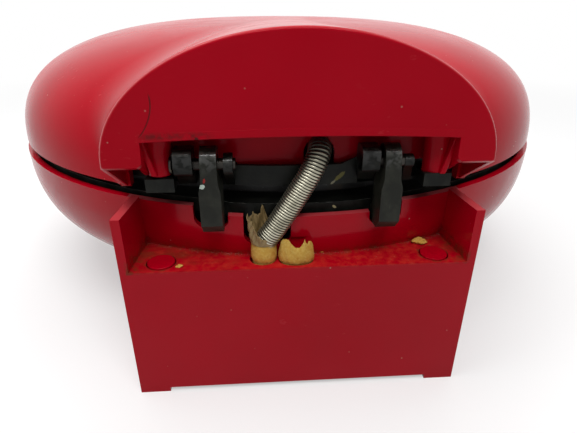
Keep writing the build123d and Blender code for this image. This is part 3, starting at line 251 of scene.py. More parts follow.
    @staticmethod
    def close_ends(piece: bpy.types.Object, face_out: bool = False) -> None:
        """Fills a piece's open ends, and faces its normals outwards where that is asked."""
        Mesher.activate(piece)
        bpy.ops.object.mode_set(mode="EDIT")
        bpy.ops.mesh.select_all(action="SELECT")
        bpy.ops.mesh.fill_holes(sides=0)
        if face_out:
            bpy.ops.mesh.select_all(action="SELECT")
            bpy.ops.mesh.normals_make_consistent(inside=False)
        bpy.ops.object.mode_set(mode="OBJECT")

    @staticmethod
    def copy_node(node: str, title: str, join_flats: bool = True) -> bpy.types.Object:
        """Copies a frame node's mesh and merges its loose triangles.

        Args:
            node: The node's name.
            title: The copy's name.
            join_flats: Whether each flat area becomes one face. A flat ring stays in triangles.

        Returns:
            The copy.
        """
        source = bpy.data.objects[node]
        piece = bpy.data.objects.new(title, source.data.copy())
        bpy.context.scene.collection.objects.link(piece)
        piece.data.materials.clear()
        Mesher.activate(piece)
        bpy.ops.object.mode_set(mode="EDIT")
        bpy.ops.mesh.select_all(action="SELECT")
        bpy.ops.mesh.remove_doubles(threshold=Mesher.weld_gap * MM)
        if join_flats:
            bpy.ops.mesh.dissolve_limited(angle_limit=math.radians(Mesher.flat_degrees))
        bpy.ops.object.mode_set(mode="OBJECT")
        return piece


class Value:
    """A number that varies over a surface, with Python's operators for its sums."""

    def __init__(self, board: "Board", socket: bpy.types.NodeSocket) -> None:
        """Wraps an output socket of a board's node."""
        self.board = board
        self.socket = socket

    def _math(self, operation: str, first: object, second: object) -> "Value":
        """Adds a Math node.

        Args:
            operation: Name of the node's operation.
            first: First number or value.
            second: Second number or value.

        Returns:
            The result as a value.
        """
        node = self.board.node("ShaderNodeMath", {"operation": operation}, {0: first, 1: second})
        return Value(self.board, node.outputs[0])

    def __add__(self, other: object) -> "Value":
        """Adds."""
        return self._math("ADD", self, other)

    __radd__ = __add__

    def __mul__(self, other: object) -> "Value":
        """Multiplies."""
        return self._math("MULTIPLY", self, other)

    __rmul__ = __mul__

    def __sub__(self, other: object) -> "Value":
        """Takes another number away."""
        return self._math("SUBTRACT", self, other)

    def __rsub__(self, other: object) -> "Value":
        """Takes this value away from a number."""
        return self._math("SUBTRACT", other, self)

    def __truediv__(self, other: object) -> "Value":
        """Divides."""
        return self._math("DIVIDE", self, other)

    def __pow__(self, other: float) -> "Value":
        """Raises to a power."""
        return self._math("POWER", self, other)

    def __abs__(self) -> "Value":
        """Drops the sign."""
        return self._math("ABSOLUTE", self, 0.0)

    def above(self, low: float, high: float) -> "Value":
        """Rises smoothly from 0 at low to 1 at high."""
        node = self.board.node("ShaderNodeMapRange", {"interpolation_type": "SMOOTHSTEP", "clamp": True},
                               {"Value": self, "From Min": low, "From Max": high})
        return Value(self.board, node.outputs[0])

    def below(self, low: float, high: float) -> "Value":
        """Falls smoothly from 1 at low to 0 at high."""
        return 1 - self.above(low, high)

    def near(self, centre: float, reach: float) -> "Value":
        """Is 1 at a centre and falls to 0 at a reach on each side."""
        return abs(self - centre).below(0.0, reach)

    def most(self, other: object) -> "Value":
        """Takes the larger of two numbers."""
        return self._math("MAXIMUM", self, other)


class Board:
    """The node tree of one material."""

    def __init__(self, title: str) -> None:
        """Makes an empty material with an output."""
        self.material = bpy.data.materials.new(title)
        self.material.use_nodes = True
        self.tree = self.material.node_tree
        self.tree.nodes.clear()
        self.output = self.tree.nodes.new("ShaderNodeOutputMaterial")
        self.place = self.node("ShaderNodeTexCoord", {}, {}).outputs["Object"]

    def node(self, kind: str, settings: dict, sockets: dict) -> bpy.types.Node:
        """Adds a node.

        Args:
            kind: Type of the node.
            settings: Its own settings, set before its sockets.
            sockets: Numbers, colours or links for its inputs, by name or number.

        Returns:
            The node.
        """
        node = self.tree.nodes.new(kind)
        for key, value in settings.items():
            setattr(node, key, value)
        for key, value in sockets.items():
            socket = node.inputs[key]
            if isinstance(value, Value):
                self.tree.links.new(value.socket, socket)
            elif isinstance(value, bpy.types.NodeSocket):
                self.tree.links.new(value, socket)
            elif socket.type == "RGBA":
                socket.default_value = (*value, 1.0) if len(value) == 3 else value
            else:
                socket.default_value = value
        return node

    def stretched(self, scale: Point, turn: Point = (0, 0, 0)) -> bpy.types.NodeSocket:
        """Object coordinates turned and then scaled along each axis."""
        return self.node("ShaderNodeMapping", {}, {"Vector": self.place, "Rotation": turn,
                                                   "Scale": scale}).outputs[0]

    def noise(self, size: float, detail: float = 2.0, rough: float = 0.5,
              place: bpy.types.NodeSocket | None = None) -> Value:
        """Soft noise.

        Args:
            size: Width of its patches in millimetres, or in the units of the place given.
            detail: Number of finer layers.
            rough: Strength of the finer layers.
            place: Coordinates to read, or None for the piece's own.

        Returns:
            The noise, near 0.5.
        """
        node = self.node("ShaderNodeTexNoise", {"noise_dimensions": "3D"},
                         {"Vector": place or self.place, "Scale": 1 / (size * MM), "Detail": detail,
                          "Roughness": rough})
        return Value(self, node.outputs["Fac"])

    def cells(self, size: float, feature: str = "F1") -> Value:
        """Distance to the points of a scatter with a spacing in millimetres, in spacings."""
        node = self.node("ShaderNodeTexVoronoi", {"feature": feature}, {"Vector": self.place,
                                                                        "Scale": 1 / (size * MM)})
        return Value(self, node.outputs["Distance"])

    def painted(self, name: str) -> Value:
        """Number that a piece's vertices hold under a name."""
        return Value(self, self.node("ShaderNodeAttribute", {"attribute_name": name}, {}).outputs["Fac"])

    def axes(self) -> tuple[Value, Value, Value]:
        """Place on the piece in millimetres from the bowl's axis and rim, as three values."""
        node = self.node("ShaderNodeSeparateXYZ", {}, {0: self.place})
        return tuple(Value(self, socket) * (1 / MM) - start for socket, start in zip(node.outputs, ORIGIN))

    def facing(self) -> tuple[Value, Value, Value]:
        """Direction that the surface faces, as three values."""
        source = self.node("ShaderNodeTexCoord", {}, {}).outputs["Normal"]
        node = self.node("ShaderNodeSeparateXYZ", {}, {0: source})
        return tuple(Value(self, socket) for socket in node.outputs)

    def blend(self, first: object, second: object, share: Value) -> bpy.types.NodeSocket:
        """Mixes two colours by a share of the second."""
        node = self.node("ShaderNodeMix", {"data_type": "RGBA"}, {0: share, 6: first, 7: second})
        return node.outputs[2]

    def bump(self, height: Value, depth: float, under: bpy.types.NodeSocket | None = None
             ) -> bpy.types.NodeSocket:
        """Raises the surface by a height of up to a depth in millimetres, over an earlier bump."""
        sockets = {"Height": height, "Distance": depth * MM, "Strength": 1.0}
        if under is not None:
            sockets["Normal"] = under
        return self.node("ShaderNodeBump", {}, sockets).outputs[0]

    def surface(self, sockets: dict) -> bpy.types.Material:
        """Ends the tree in one principled surface and returns the material."""
        shader = self.node("ShaderNodeBsdfPrincipled", {}, sockets)
        self.tree.links.new(shader.outputs[0], self.output.inputs[0])
        return self.material


@dataclass(frozen=True)
class Finish:
    """A finish: its title and how its material is made."""

    title: str

    def make(self, board: Board) -> bpy.types.Material:
        """Builds the nodes on an empty board."""
        raise NotImplementedError

    def material(self) -> bpy.types.Material:
        """Makes the finish's material."""
        return self.make(Board(self.title))


@dataclass(frozen=True)
class RedPlastic(Finish):
    """Glossy red moulded plastic with faint scuffs and settled dust."""

    tone: Point = (0.460, 0.000, 0.011)
    deep: Point = (0.400, 0.000, 0.009)
    worn: Point = (0.520, 0.040, 0.045)
    dust: Point = (0.500, 0.330, 0.260)
    # tone of the painted highlight along rounded edges, used on the lid and the base
    edge: Point = (0.620, 0.150, 0.160)
    roughness: float = 0.17
    gloss: float = 0.07

    def colour(self, board: Board) -> tuple[bpy.types.NodeSocket, Value]:
        """Colour and roughness of clean and scuffed plastic.

        Args:
            board: The material's board.

        Returns:
            The colour and the roughness.
        """
        cloud = board.noise(55, 3).above(0.3, 0.75)
        tone = board.blend(self.tone, self.deep, cloud)
        streaks = board.noise(1.0, 4, 0.6, board.stretched((0.22, 0.9, 0.55), (0.3, 0.5, 0.9)))
        patches = board.noise(34, 2).above(0.5, 0.68)
        scuffs = streaks.above(0.63, 0.72) * patches
        tone = board.blend(tone, self.worn, scuffs * 0.35)
        specks = board.cells(5.2).below(0.035, 0.075) * board.noise(12, 1).above(0.5, 0.62)
        tone = board.blend(tone, self.dust, specks * 0.7)
        smear = board.noise(24, 3, 0.6).above(0.42, 0.75)
        rough = self.roughness + smear * 0.07 + scuffs * 0.22 + specks * 0.3
        return tone, rough

    def skin(self, board: Board) -> bpy.types.NodeSocket:
        """Faint waves that moulding leaves in the gloss."""
        return board.bump(board.noise(9, 2), 0.035)

    def make(self, board: Board) -> bpy.types.Material:
        """Builds clean plastic."""
        tone, rough = self.colour(board)
        return board.surface({"Base Color": tone, "Roughness": rough, "Normal": self.skin(board),
                              "IOR": 1.5, "Specular IOR Level": self.gloss})


@dataclass(frozen=True)
class HoodPlastic(RedPlastic):
    """The same plastic on the lid: painted highlights along the rounded rim of the rear face and the cheeks'
    lower edges, a crease in the rear face and grime over the mouth.
    """

    grime: Point = (0.085, 0.012, 0.012)
    rear_y: float = -147.3
    crease_x: float = -45.0
    crease_z: float = 39.0
    crease_bend: float = 0.039
    lip_z: float = 28.4
    dent: tuple[float, float] = (-32.6, 27.5)
    cheek_z: float = 18.7
    cheek_slope: float = -0.662
    cheek_x: float = 61.9

    def make(self, board: Board) -> bpy.types.Material:
        """Builds the lid's plastic."""
        tone, rough = self.colour(board)
        x, y, z = board.axes()
        across, along, _ = board.facing()
        rear = y.below(self.rear_y + 1.3, self.rear_y + 1.7)
        # painted highlight: a paler tone on the rounded rim of the rear face, where the edge would catch the
        # light
        edge_highlight = (0 - along).near(0.62, 0.36) * abs(across).above(0.05, 0.3) * rear
        under = z - self.cheek_z - (y - self.rear_y) * self.cheek_slope
        # painted highlight along the lower rounded edges of the cheeks as well
        edge_highlight = edge_highlight.most(under.near(0.0, 0.6) * abs(x).above(self.cheek_x - 0.3, self.cheek_x + 0.3)
                             * y.below(-125.5, -124.5) * z.below(19.5, 20.5))
        tone = board.blend(tone, self.edge, edge_highlight * 0.8)
        bow = self.crease_x - (self.crease_z - z) * (self.crease_z - z) * self.crease_bend
        crease = abs(x - bow).below(0.06, 0.30) * z.above(27.6, 29.0) * z.below(39.8, 41.5) * rear
        mottle = board.noise(2.2, 3, 0.6)
        grime = z.near(self.lip_z, 1.9) * x.above(-50.5, -48.0) * x.below(-31.0, -26.0) * rear
        grime = grime * mottle.above(0.32, 0.62) * 0.75
        dent_x, dent_z = x - self.dent[0], z - self.dent[1]
        dent = ((dent_x * dent_x + dent_z * dent_z) ** 0.5).below(0.35, 0.8) * rear
        dirt = grime.most(crease * 0.85).most(dent)
        tone = board.blend(tone, self.grime, dirt)
        height = 1 - crease.most(dent)
        return board.surface({"Base Color": tone, "Roughness": rough + dirt * 0.25, "IOR": 1.5,
                              "Specular IOR Level": self.gloss,
                              "Normal": board.bump(height, 0.15, self.skin(board))})


@dataclass(frozen=True)
class TrayPlastic(RedPlastic):
    """The same plastic on the base, with grime gathered on the shelf between the ears and a painted highlight
    along the top edges of the wall and the ears.
    """

    gloss: float = 0.13
    grime: Point = (0.085, 0.030, 0.008)
    film: Point = (0.560, 0.030, 0.018)
    crust: Point = (0.560, 0.270, 0.220)
    shelf_z: float = -19.3
    wall_r: float = 138.0
    plug_x: float = 49.8
    plug_y: float = -140.8
    plug_r: float = 5.3
    side_x: float = 59.8

    def make(self, board: Board) -> bpy.types.Material:
        """Builds plastic with the shelf's grime."""
        tone, rough = self.colour(board)
        x, y, z = board.axes()
        behind = y.below(-112, -108) * abs(x).below(60.4, 61.0)
        floor = z.near(self.shelf_z, 0.9) * behind
        low = (z - self.shelf_z).below(0.4, 6.5) * (z - self.shelf_z).above(-1.2, -0.4) * behind
        radius = (x * x + y * y) ** 0.5
        crease = (radius - self.wall_r).near(0.0, 3.4) * (z - self.shelf_z).near(0.0, 3.0) * behind
        corners = (self.side_x - abs(x)).below(0.0, 7.0) * low
        mottle = board.noise(2.6, 4, 0.65)
        plug_x, plug_y = abs(x) - self.plug_x, y - self.plug_y
        to_plug = (plug_x * plug_x + plug_y * plug_y) ** 0.5
        ring = to_plug.near(self.plug_r, 1.3) * floor
        tone = board.blend(tone, self.film, floor * mottle.above(0.35, 0.7) * 0.7)
        dirt = (crease * 0.55).most(corners * 0.75).most(ring * 0.85) * mottle.above(0.36, 0.62)
        left = (0 - x).above(10, 45)
        dirt = dirt.most(low * left * board.noise(11, 3).above(0.45, 0.7) * 0.55)
        tone = board.blend(tone, self.grime, dirt)
        grains = board.noise(0.55, 2, 0.7).above(0.56, 0.66)
        line = (radius - self.wall_r).near(0.4, 1.9) * (z - self.shelf_z).near(0.0, 0.8) * behind
        patches = line * board.noise(14, 1).above(0.32, 0.52)
        salt = grains * patches.most(floor * 0.35 * mottle.above(0.6, 0.7))
        tone = board.blend(tone, self.crust, salt * 0.8)
        rough = rough + floor * 0.16 + dirt * 0.3 + salt * 0.3
        height = mottle * floor + grains * salt * 2
        # painted highlight: the upward-facing edges of the wall and the ears are in shade under the lid, and
        # are painted paler as if lit
        _, along, up = board.facing()
        edges = up.above(0.15, 0.5) * (0 - along + 0.4).above(0.1, 0.3)
        edge_highlight = edges * z.near(-1.0, 3.4) * y.below(-112, -108) * abs(x).below(62.5, 63.0)
        tone = board.blend(tone, self.edge, edge_highlight * 0.8)
        return board.surface({"Base Color": tone, "Roughness": rough, "IOR": 1.5,
                              "Specular IOR Level": self.gloss,
                              "Normal": board.bump(height, 0.12, self.skin(board))})


@dataclass(frozen=True)
class DarkPart(Finish):
    """Black moulded resin or coated casting: slightly uneven, with painted highlights in patches along the
    upper rear edges, and marks.
    """

    tone: Point = (0.006, 0.0065, 0.0055)
    worn: Point = (0.035, 0.037, 0.031)
    roughness: float = 0.42
    grain: float = 1.1
    grain_depth: float = 0.03
    marks: float = 0.5
    gloss: float = 0.10
    oil: float = 0.0
    # tone and share of the painted highlight along the upper rear edges
    bright: Point = (0.300, 0.310, 0.280)
    edge_highlight: float = 0.35
    scraps: tuple[tuple[float, float, float, float, float, Point], ...] = ()

    def make(self, board: Board) -> bpy.types.Material:
        """Builds the dark finish."""
        grain = board.noise(self.grain, 3, 0.6)
        cloud = board.noise(7, 3, 0.6).above(0.4, 0.7)
        scratches = board.noise(1.0, 3, 0.6, board.stretched((0.5, 0.5, 0.09), (0.12, 0.06, 0.4)))
        marks = scratches.above(0.62, 0.74) * board.noise(9, 1).above(0.45, 0.6) * self.marks
        tone = board.blend(self.tone, self.worn, cloud * 0.35)
        tone = board.blend(tone, self.worn, marks)
        rough = self.roughness + cloud * 0.12 - marks * 0.15
        x, _, z = board.axes()
        _, along, up = board.facing()
        # painted highlight: the upper rear edges are painted paler in patches, as if catching the light
        edges = up.near(0.62, 0.36) * (0 - along).above(0.15, 0.45)
        edges = edges * board.noise(3.0, 3, 0.6).above(0.40, 0.56)
        tone = board.blend(tone, self.bright, edges * self.edge_highlight)
        ragged = board.noise(0.9, 3, 0.6) * 0.9 - 0.45
        for centre_x, centre_z, degrees, length, width, scrap_tone in self.scraps:
            turn = math.radians(degrees)
            along = ((x - centre_x) * math.cos(turn) + (z - centre_z) * math.sin(turn)) / length
            across = ((z - centre_z) * math.cos(turn) - (x - centre_x) * math.sin(turn)) / width
            scrap = ((along * along + across * across) ** 0.5 + ragged).below(0.85, 1.05)
            tone = board.blend(tone, scrap_tone, scrap)
        sockets = {"Base Color": tone, "Roughness": rough, "Specular IOR Level": self.gloss,
                   "Normal": board.bump(grain, self.grain_depth)}
        if self.oil:
            wet = board.noise(2.4, 3, 0.6).above(0.42, 0.58) * z.above(14.0, 20.0) * self.oil
            sockets |= {"Coat Weight": wet, "Coat Roughness": 0.12}
        return board.surface(sockets)


@dataclass(frozen=True)
class GrainPlastic(Finish):
    """Black handle plastic with a fine leather-like mould grain, polished where hands hold it."""

    tone: Point = (0.014, 0.014, 0.015)
    worn: Point = (0.032, 0.032, 0.034)

    def make(self, board: Board) -> bpy.types.Material:
        """Builds the grained plastic."""
        pits = board.cells(0.75, "SMOOTH_F1")
        held = board.noise(26, 2).above(0.42, 0.62)
        tone = board.blend(self.tone, self.worn, held * 0.4)
        return board.surface({"Base Color": tone, "Roughness": 0.5 - held * 0.14,
                              "Normal": board.bump(pits, 0.07)})


@dataclass(frozen=True)
class NonStick(Finish):
    """Dark cooking coat on a cast plate: fine sparkle, rings left by fat, dull high spots."""

    tone: Point = (0.024, 0.023, 0.023)
    fleck: Point = (0.150, 0.145, 0.140)
    stain: Point = (0.040, 0.022, 0.011)

    def make(self, board: Board) -> bpy.types.Material:
        """Builds the cooking coat."""
        flecks = board.cells(1.3).below(0.10, 0.19)
        stains = board.noise(18, 5, 0.65).above(0.55, 0.72)
        tone = board.blend(self.tone, self.fleck, flecks * 0.6)
        tone = board.blend(tone, self.stain, stains * 0.7)
        rough = 0.36 + stains * 0.2 - flecks * 0.08
        return board.surface({"Base Color": tone, "Roughness": rough,
                              "Normal": board.bump(board.noise(0.9, 3), 0.035)})


@dataclass(frozen=True)
class Rubber(Finish):
    """Matt rubber with a bloom."""

    tone: Point = (0.016, 0.016, 0.016)
    bloom: Point = (0.055, 0.053, 0.050)

    def make(self, board: Board) -> bpy.types.Material:
        """Builds the rubber."""
        bloom = board.noise(8, 4, 0.6).above(0.45, 0.75)
        tone = board.blend(self.tone, self.bloom, bloom * 0.6)
        return board.surface({"Base Color": tone, "Roughness": 0.72 + bloom * 0.12,
                              "Normal": board.bump(board.noise(0.5, 2), 0.03)})


@dataclass(frozen=True)
class TanRubber(Finish):
    """Old tan rubber, crumbling, with browner stains."""

    tone: Point = (0.620, 0.360, 0.070)
    pale: Point = (0.680, 0.460, 0.120)
    stain: Point = (0.460, 0.180, 0.020)

    def make(self, board: Board) -> bpy.types.Material:
        """Builds the crumbling rubber."""
        crumbs = board.noise(0.9, 4, 0.7)
        blots = board.noise(3.2, 3, 0.6)
        tone = board.blend(self.tone, self.pale, crumbs.above(0.42, 0.66))
        tone = board.blend(tone, self.stain, blots.above(0.54, 0.72) * 0.55)
        return board.surface({"Base Color": tone, "Roughness": 0.72 - blots * 0.1,
                              "Specular IOR Level": 0.12, "Normal": board.bump(crumbs, 0.22)})


@dataclass(frozen=True)
class OldFilm(Finish):
    """Thin olive film, dark in its folds, with pale torn tips, that starts tan."""

    tone: Point = (0.110, 0.104, 0.046)
    dark: Point = (0.024, 0.023, 0.010)
    foot: Point = (0.300, 0.200, 0.080)
    tip: Point = (0.560, 0.450, 0.230)

    def make(self, board: Board) -> bpy.types.Material:
        """Builds the film from the height attribute, 0 at its foot and 1 at its torn edge."""
        height = board.painted("height")
        folds = board.noise(1.0, 3, 0.6, board.stretched((1.2, 1.2, 0.2)))
        tone = board.blend(self.tone, self.dark, folds.above(0.45, 0.62) * 0.85)
        tone = board.blend(tone, self.foot, height.below(0.02, 0.12) * 0.8)
        tips = (height + board.noise(0.9, 3) * 0.3 - 0.15).above(0.84, 0.97)
        tone = board.blend(tone, self.tip, tips)
        return board.surface({"Base Color": tone, "Roughness": 0.5 + tips * 0.2,
                              "Normal": board.bump(folds, 0.2)})


@dataclass(frozen=True)
class LeadJacket(Finish):
    """Heat-proof lead insulation with a fine weave."""

    tone: Point = (0.560, 0.540, 0.500)
    shade: Point = (0.300, 0.280, 0.250)

    def make(self, board: Board) -> bpy.types.Material:
        """Builds the insulation."""
        weave = board.cells(0.5)
        tone = board.blend(self.tone, self.shade, weave.above(0.35, 0.75) * 0.6)
        return board.surface({"Base Color": tone, "Roughness": 0.75, "Normal": board.bump(weave, 0.06)})


@dataclass(frozen=True)
class Metal(Finish):
    """Bare metal: a cloudy colour, fine scratches along one axis and duller stains."""

    tone: Point = (0.560, 0.550, 0.530)
    shade: Point = (0.380, 0.370, 0.350)
    roughness: float = 0.34
    grain: Point = (3.0, 0.4, 3.0)
    stain: Point = (0.160, 0.110, 0.060)
    stained: float = 0.2

    def make(self, board: Board) -> bpy.types.Material:
        """Builds the metal."""
        cloud = board.noise(9, 4, 0.6)
        lines = board.noise(1.0, 2, 0.6, board.stretched(self.grain))
        stains = board.noise(4, 4, 0.65).above(0.56, 0.7) * self.stained
        tone = board.blend(self.tone, self.shade, cloud.above(0.4, 0.7))
        tone = board.blend(tone, self.stain, stains)
        rough = self.roughness + lines * 0.16 - 0.08 + stains * 0.4
        return board.surface({"Base Color": tone, "Roughness": rough, "Metallic": 1 - stains,
                              "Normal": board.bump(lines, 0.012)})


@dataclass(frozen=True)
class SpringSteel(Finish):
    """Wound spring steel gone slightly yellow, with painted shade on the wire between the turns and a darker
    top that is partly grease and partly painted shade under the lid.
    """

    tone: Point = (0.470, 0.450, 0.350)
    shade: Point = (0.220, 0.205, 0.145)
    shade_between_turns: Point = (0.012, 0.011, 0.008)
    grease_and_shade: Point = (0.085, 0.080, 0.060)

    def make(self, board: Board) -> bpy.types.Material:
        """Builds the steel from the winding's depth and rise attributes."""
        depth = board.painted("depth")
        cloud = board.noise(5, 3, 0.6).above(0.4, 0.7)
        tone = board.blend(self.tone, self.shade, cloud * 0.7)
        rise = board.painted("rise")
        # the top of the spring, under the lid's mouth, is painted darker: partly grease, partly painted shade
        tone = board.blend(tone, self.grease_and_shade, rise.above(0.60, 0.76) * 0.8)
        # painted shade: the wire's flanks and inside, between neighbouring turns, are painted dark and given
        # less metal shine
        gap = depth.above(0.12, 0.55)
        tone = board.blend(tone, self.shade_between_turns, gap)
        return board.surface({"Base Color": tone, "Roughness": 0.3 + gap * 0.4 + cloud * 0.1,
                              "Metallic": 1 - gap * 0.7})


@dataclass(frozen=True)
class Lens(Finish):
    """Clear coloured lens over a lamp."""

    tone: Point = (0.600, 0.010, 0.008)

    def make(self, board: Board) -> bpy.types.Material:
        """Builds the lens."""
        core = board.noise(1.6, 1).above(0.4, 0.6)
        tone = board.blend(self.tone, tuple(min(1.0, 1.5 * c + 0.02) for c in self.tone), core * 0.5)
        return board.surface({"Base Color": tone, "Roughness": 0.08 + core * 0.02, "Coat Weight": 0.5,
                              "Coat Roughness": 0.03, "IOR": 1.49})


@dataclass(frozen=True)
class LampGlass(Finish):
    """Small glass lamp with an orange cast."""

    tone: Point = (0.750, 0.420, 0.180)

    def make(self, board: Board) -> bpy.types.Material:
        """Builds the glass."""
        glow = board.noise(2.2, 1).above(0.3, 0.7)
        tone = board.blend(self.tone, (0.9, 0.8, 0.6), glow)
        return board.surface({"Base Color": tone, "Roughness": 0.06 + glow * 0.03, "IOR": 1.5,
                              "Transmission Weight": 0.5})


BLACK_FRAME = DarkPart("black_frame", roughness=0.36, grain=1.6, grain_depth=0.05, marks=0.35)
BLACK_ARM = DarkPart("black_arm", (0.011, 0.0115, 0.0085), (0.048, 0.050, 0.038), roughness=0.36,
                     grain=0.8, grain_depth=0.04, marks=0.55, gloss=0.16, oil=0.9)
FINISHES: dict[str, Finish] = {
    "red_plastic": RedPlastic("red_plastic"),
    "black_frame": BLACK_FRAME,
    "black_arm": BLACK_ARM,
    "black_plastic": GrainPlastic("black_plastic"),
    "nonstick": NonStick("nonstick"),
    "black_rubber": Rubber("black_rubber"),
    "tan_rubber": TanRubber("tan_rubber"),
    "lead_insulation": LeadJacket("lead_insulation"),
    "bundle_jacket": DarkPart("bundle_jacket", (0.020, 0.019, 0.018), (0.050, 0.045, 0.040),
                              roughness=0.6, grain=0.5, grain_depth=0.05, marks=0.2),
    "red_lens": Lens("red_lens"),
    "green_lens": Lens("green_lens", (0.020, 0.420, 0.060)),
    "lamp_glass": LampGlass("lamp_glass"),
    "reflector_metal": Metal("reflector_metal", (0.620, 0.620, 0.610), (0.480, 0.480, 0.470), 0.30),
    "element_sheath": Metal("element_sheath", (0.200, 0.190, 0.175), (0.090, 0.080, 0.072), 0.45,
                            (1.5, 1.5, 1.5), (0.110, 0.050, 0.022), 0.6),
    "spring_steel": SpringSteel("spring_steel"),
    "control_metal": Metal("control_metal", (0.600, 0.590, 0.560), (0.450, 0.440, 0.420), 0.28),
    "steel": Metal("steel"),
}


DARK_STEEL = Metal("dark_steel", (0.045, 0.042, 0.038), (0.020, 0.018, 0.016), 0.42, stained=0.3)
CHIPPED_ARM = replace(BLACK_ARM, title="chipped_arm",
                      scraps=((-32.5, 11.1, 20, 1.0, 0.75, (0.480, 0.560, 0.500)),
                              (-31.7, 13.0, 80, 0.9, 0.4, (0.260, 0.020, 0.018))))
SCRAPED_LID_FRAME = replace(BLACK_FRAME, title="lid_frame_resin", gloss=0.12, oil=0.5,
                            scraps=((14.4, 9.8, 41, 2.3, 0.8, (0.150, 0.140, 0.045)),
                                    (11.9, 7.5, 41, 1.2, 0.4, (0.230, 0.220, 0.150))))
# the base frame's top edge gets a stronger painted highlight
SCRAPED_BASE_FRAME = replace(BLACK_FRAME, title="base_frame_resin", edge_highlight=0.9,
                             scraps=((12.9, -1.9, -40, 0.9, 0.5, (0.420, 0.390, 0.210)),))


class Shop:
    """Hands out one material for each slot and dresses pieces."""

    def __init__(self) -> None:
        """Starts with nothing made."""
        self.made: dict[str, bpy.types.Material] = {}

    def finish(self, slot: str) -> bpy.types.Material:
        """Material of a slot, made at its first use."""
        if slot not in self.made:
            self.made[slot] = FINISHES[slot].material()
        return self.made[slot]

    def coat(self, piece: bpy.types.Object, slot: str, node: str | None = None,
             material: bpy.types.Material | None = None) -> None:
        """Gives a piece its finish, chosen by its slot unless a material is given, and hides the node that it
        stands for.
        """
        piece.data.materials.clear()
        piece.data.materials.append(material or self.finish(slot))
        if node is not None:
            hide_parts(node)
        log.info("%s: %d faces", piece.name, len(piece.data.polygons))

    def dress(self, piece: bpy.types.Object, body: Body, slot: str, node: str | None = None,
              material: bpy.types.Material | None = None) -> bpy.types.Object:
        """Gives a new piece its finish and body, and hides the node that it stands for.

        Args:
            piece: The finished piece.
            body: The body that it rides on.
            slot: Its slot in the record.
            node: The node that it replaces, if any.
            material: A material of its own, or None for the slot's.

        Returns:
            The piece.
        """
        self.coat(piece, slot, node, material)
        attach(piece, body.value)
        return piece


class Bench:
    """Shapes made about the bowl's axis at the rim and moved to the frame's origin at the end."""

    @staticmethod
    def to_row(piece: bpy.types.Object) -> bpy.types.Object:
        """Moves a piece from the bowl's axis to its place in the frame."""
        piece.location = [c * MM for c in ORIGIN]
        return Mesher.settle(piece)

    @staticmethod
    def revolve(title: str, outline: Sequence[tuple[float, float]], steps: int) -> bpy.types.Object:
        """Spins a closed outline once round the bowl's axis.

        Args:
            title: Name of the piece.
            outline: Radius and height of each corner in millimetres, in order.
            steps: Number of steps of the turn.

        Returns:
            The turned solid.
        """
        Mesher.clear()
        bpy.ops.mesh.primitive_circle_add(vertices=len(outline), radius=MM)
        piece = Mesher.name(title)
        for vertex, (radius, height) in zip(piece.data.vertices, outline):
            vertex.co = (radius * MM, 0, height * MM)
        Mesher.activate(piece)
        bpy.ops.object.mode_set(mode="EDIT")
        bpy.ops.mesh.select_all(action="SELECT")
        bpy.ops.mesh.spin(steps=steps, angle=math.tau, center=(0, 0, 0), axis=(0, 0, 1))
        bpy.ops.object.mode_set(mode="OBJECT")
        return Mesher.tidy(piece, 0.02)

    @staticmethod
    def crown(outer: float, height: float, power: float, steps: int) -> list[tuple[float, float]]:
        """Outline of a rounded profile from its rim to its top, as radius and height."""
        points = []
        for i in range(steps + 1):
            turn = math.pi / 2 * i / steps
            reach = math.cos(turn) ** (2 / power) if i < steps else 0.0
            points.append((outer * reach, height * math.sin(turn) ** (2 / power)))
        return points

    @staticmethod
    def curved(points: np.ndarray, piece: bpy.types.Object) -> None:
        """Writes new places, in millimetres, to a piece's vertices."""
        piece.data.vertices.foreach_set("co", (points * MM).ravel())
        piece.data.update()

    @staticmethod
    def places(piece: bpy.types.Object) -> np.ndarray:
        """Reads the places of a piece's vertices in millimetres."""
        flat = np.empty(len(piece.data.vertices) * 3)
        piece.data.vertices.foreach_get("co", flat)
        return flat.reshape(-1, 3) / MM

    @staticmethod
    def tube(title: str, sides: int, rows: int) -> bpy.types.Object:
        """Adds an open tube of 1 mm radius and 1 mm height in equal rows."""
        Mesher.clear()
        bpy.ops.mesh.primitive_circle_add(vertices=sides, radius=MM)
        piece = Mesher.name(title)
        return Mesher.apply(piece, "SCREW", angle=0.0, screw_offset=MM, iterations=1, steps=rows,
                            render_steps=rows, use_merge_vertices=False)

    @staticmethod
    def paint(piece: bpy.types.Object, name: str, numbers: np.ndarray) -> None:
        """Stores one number for each vertex as an attribute."""
        attribute = piece.data.attributes.new(name, "FLOAT", "POINT")
        attribute.data.foreach_set("value", numbers.astype(np.float32))

    @staticmethod
    def bar(title: str, low: Sequence[float], high: Sequence[float], cuts: int,
            bend: Callable[[np.ndarray], np.ndarray]) -> bpy.types.Object:
        """Adds a box with cuts along X, whose points are then moved by a rule."""
        piece = Mesher.box(title, low, high)
        Mesher.activate(piece)
        length = (high[0] - low[0]) / (cuts + 1)
        for i in range(1, cuts + 1):
            bpy.ops.object.mode_set(mode="EDIT")
            bpy.ops.mesh.select_all(action="SELECT")
            bpy.ops.mesh.bisect(plane_co=((low[0] + i * length) * MM, 0, 0), plane_no=(1, 0, 0))
            bpy.ops.object.mode_set(mode="OBJECT")
        Bench.curved(bend(Bench.places(piece)), piece)
        return piece


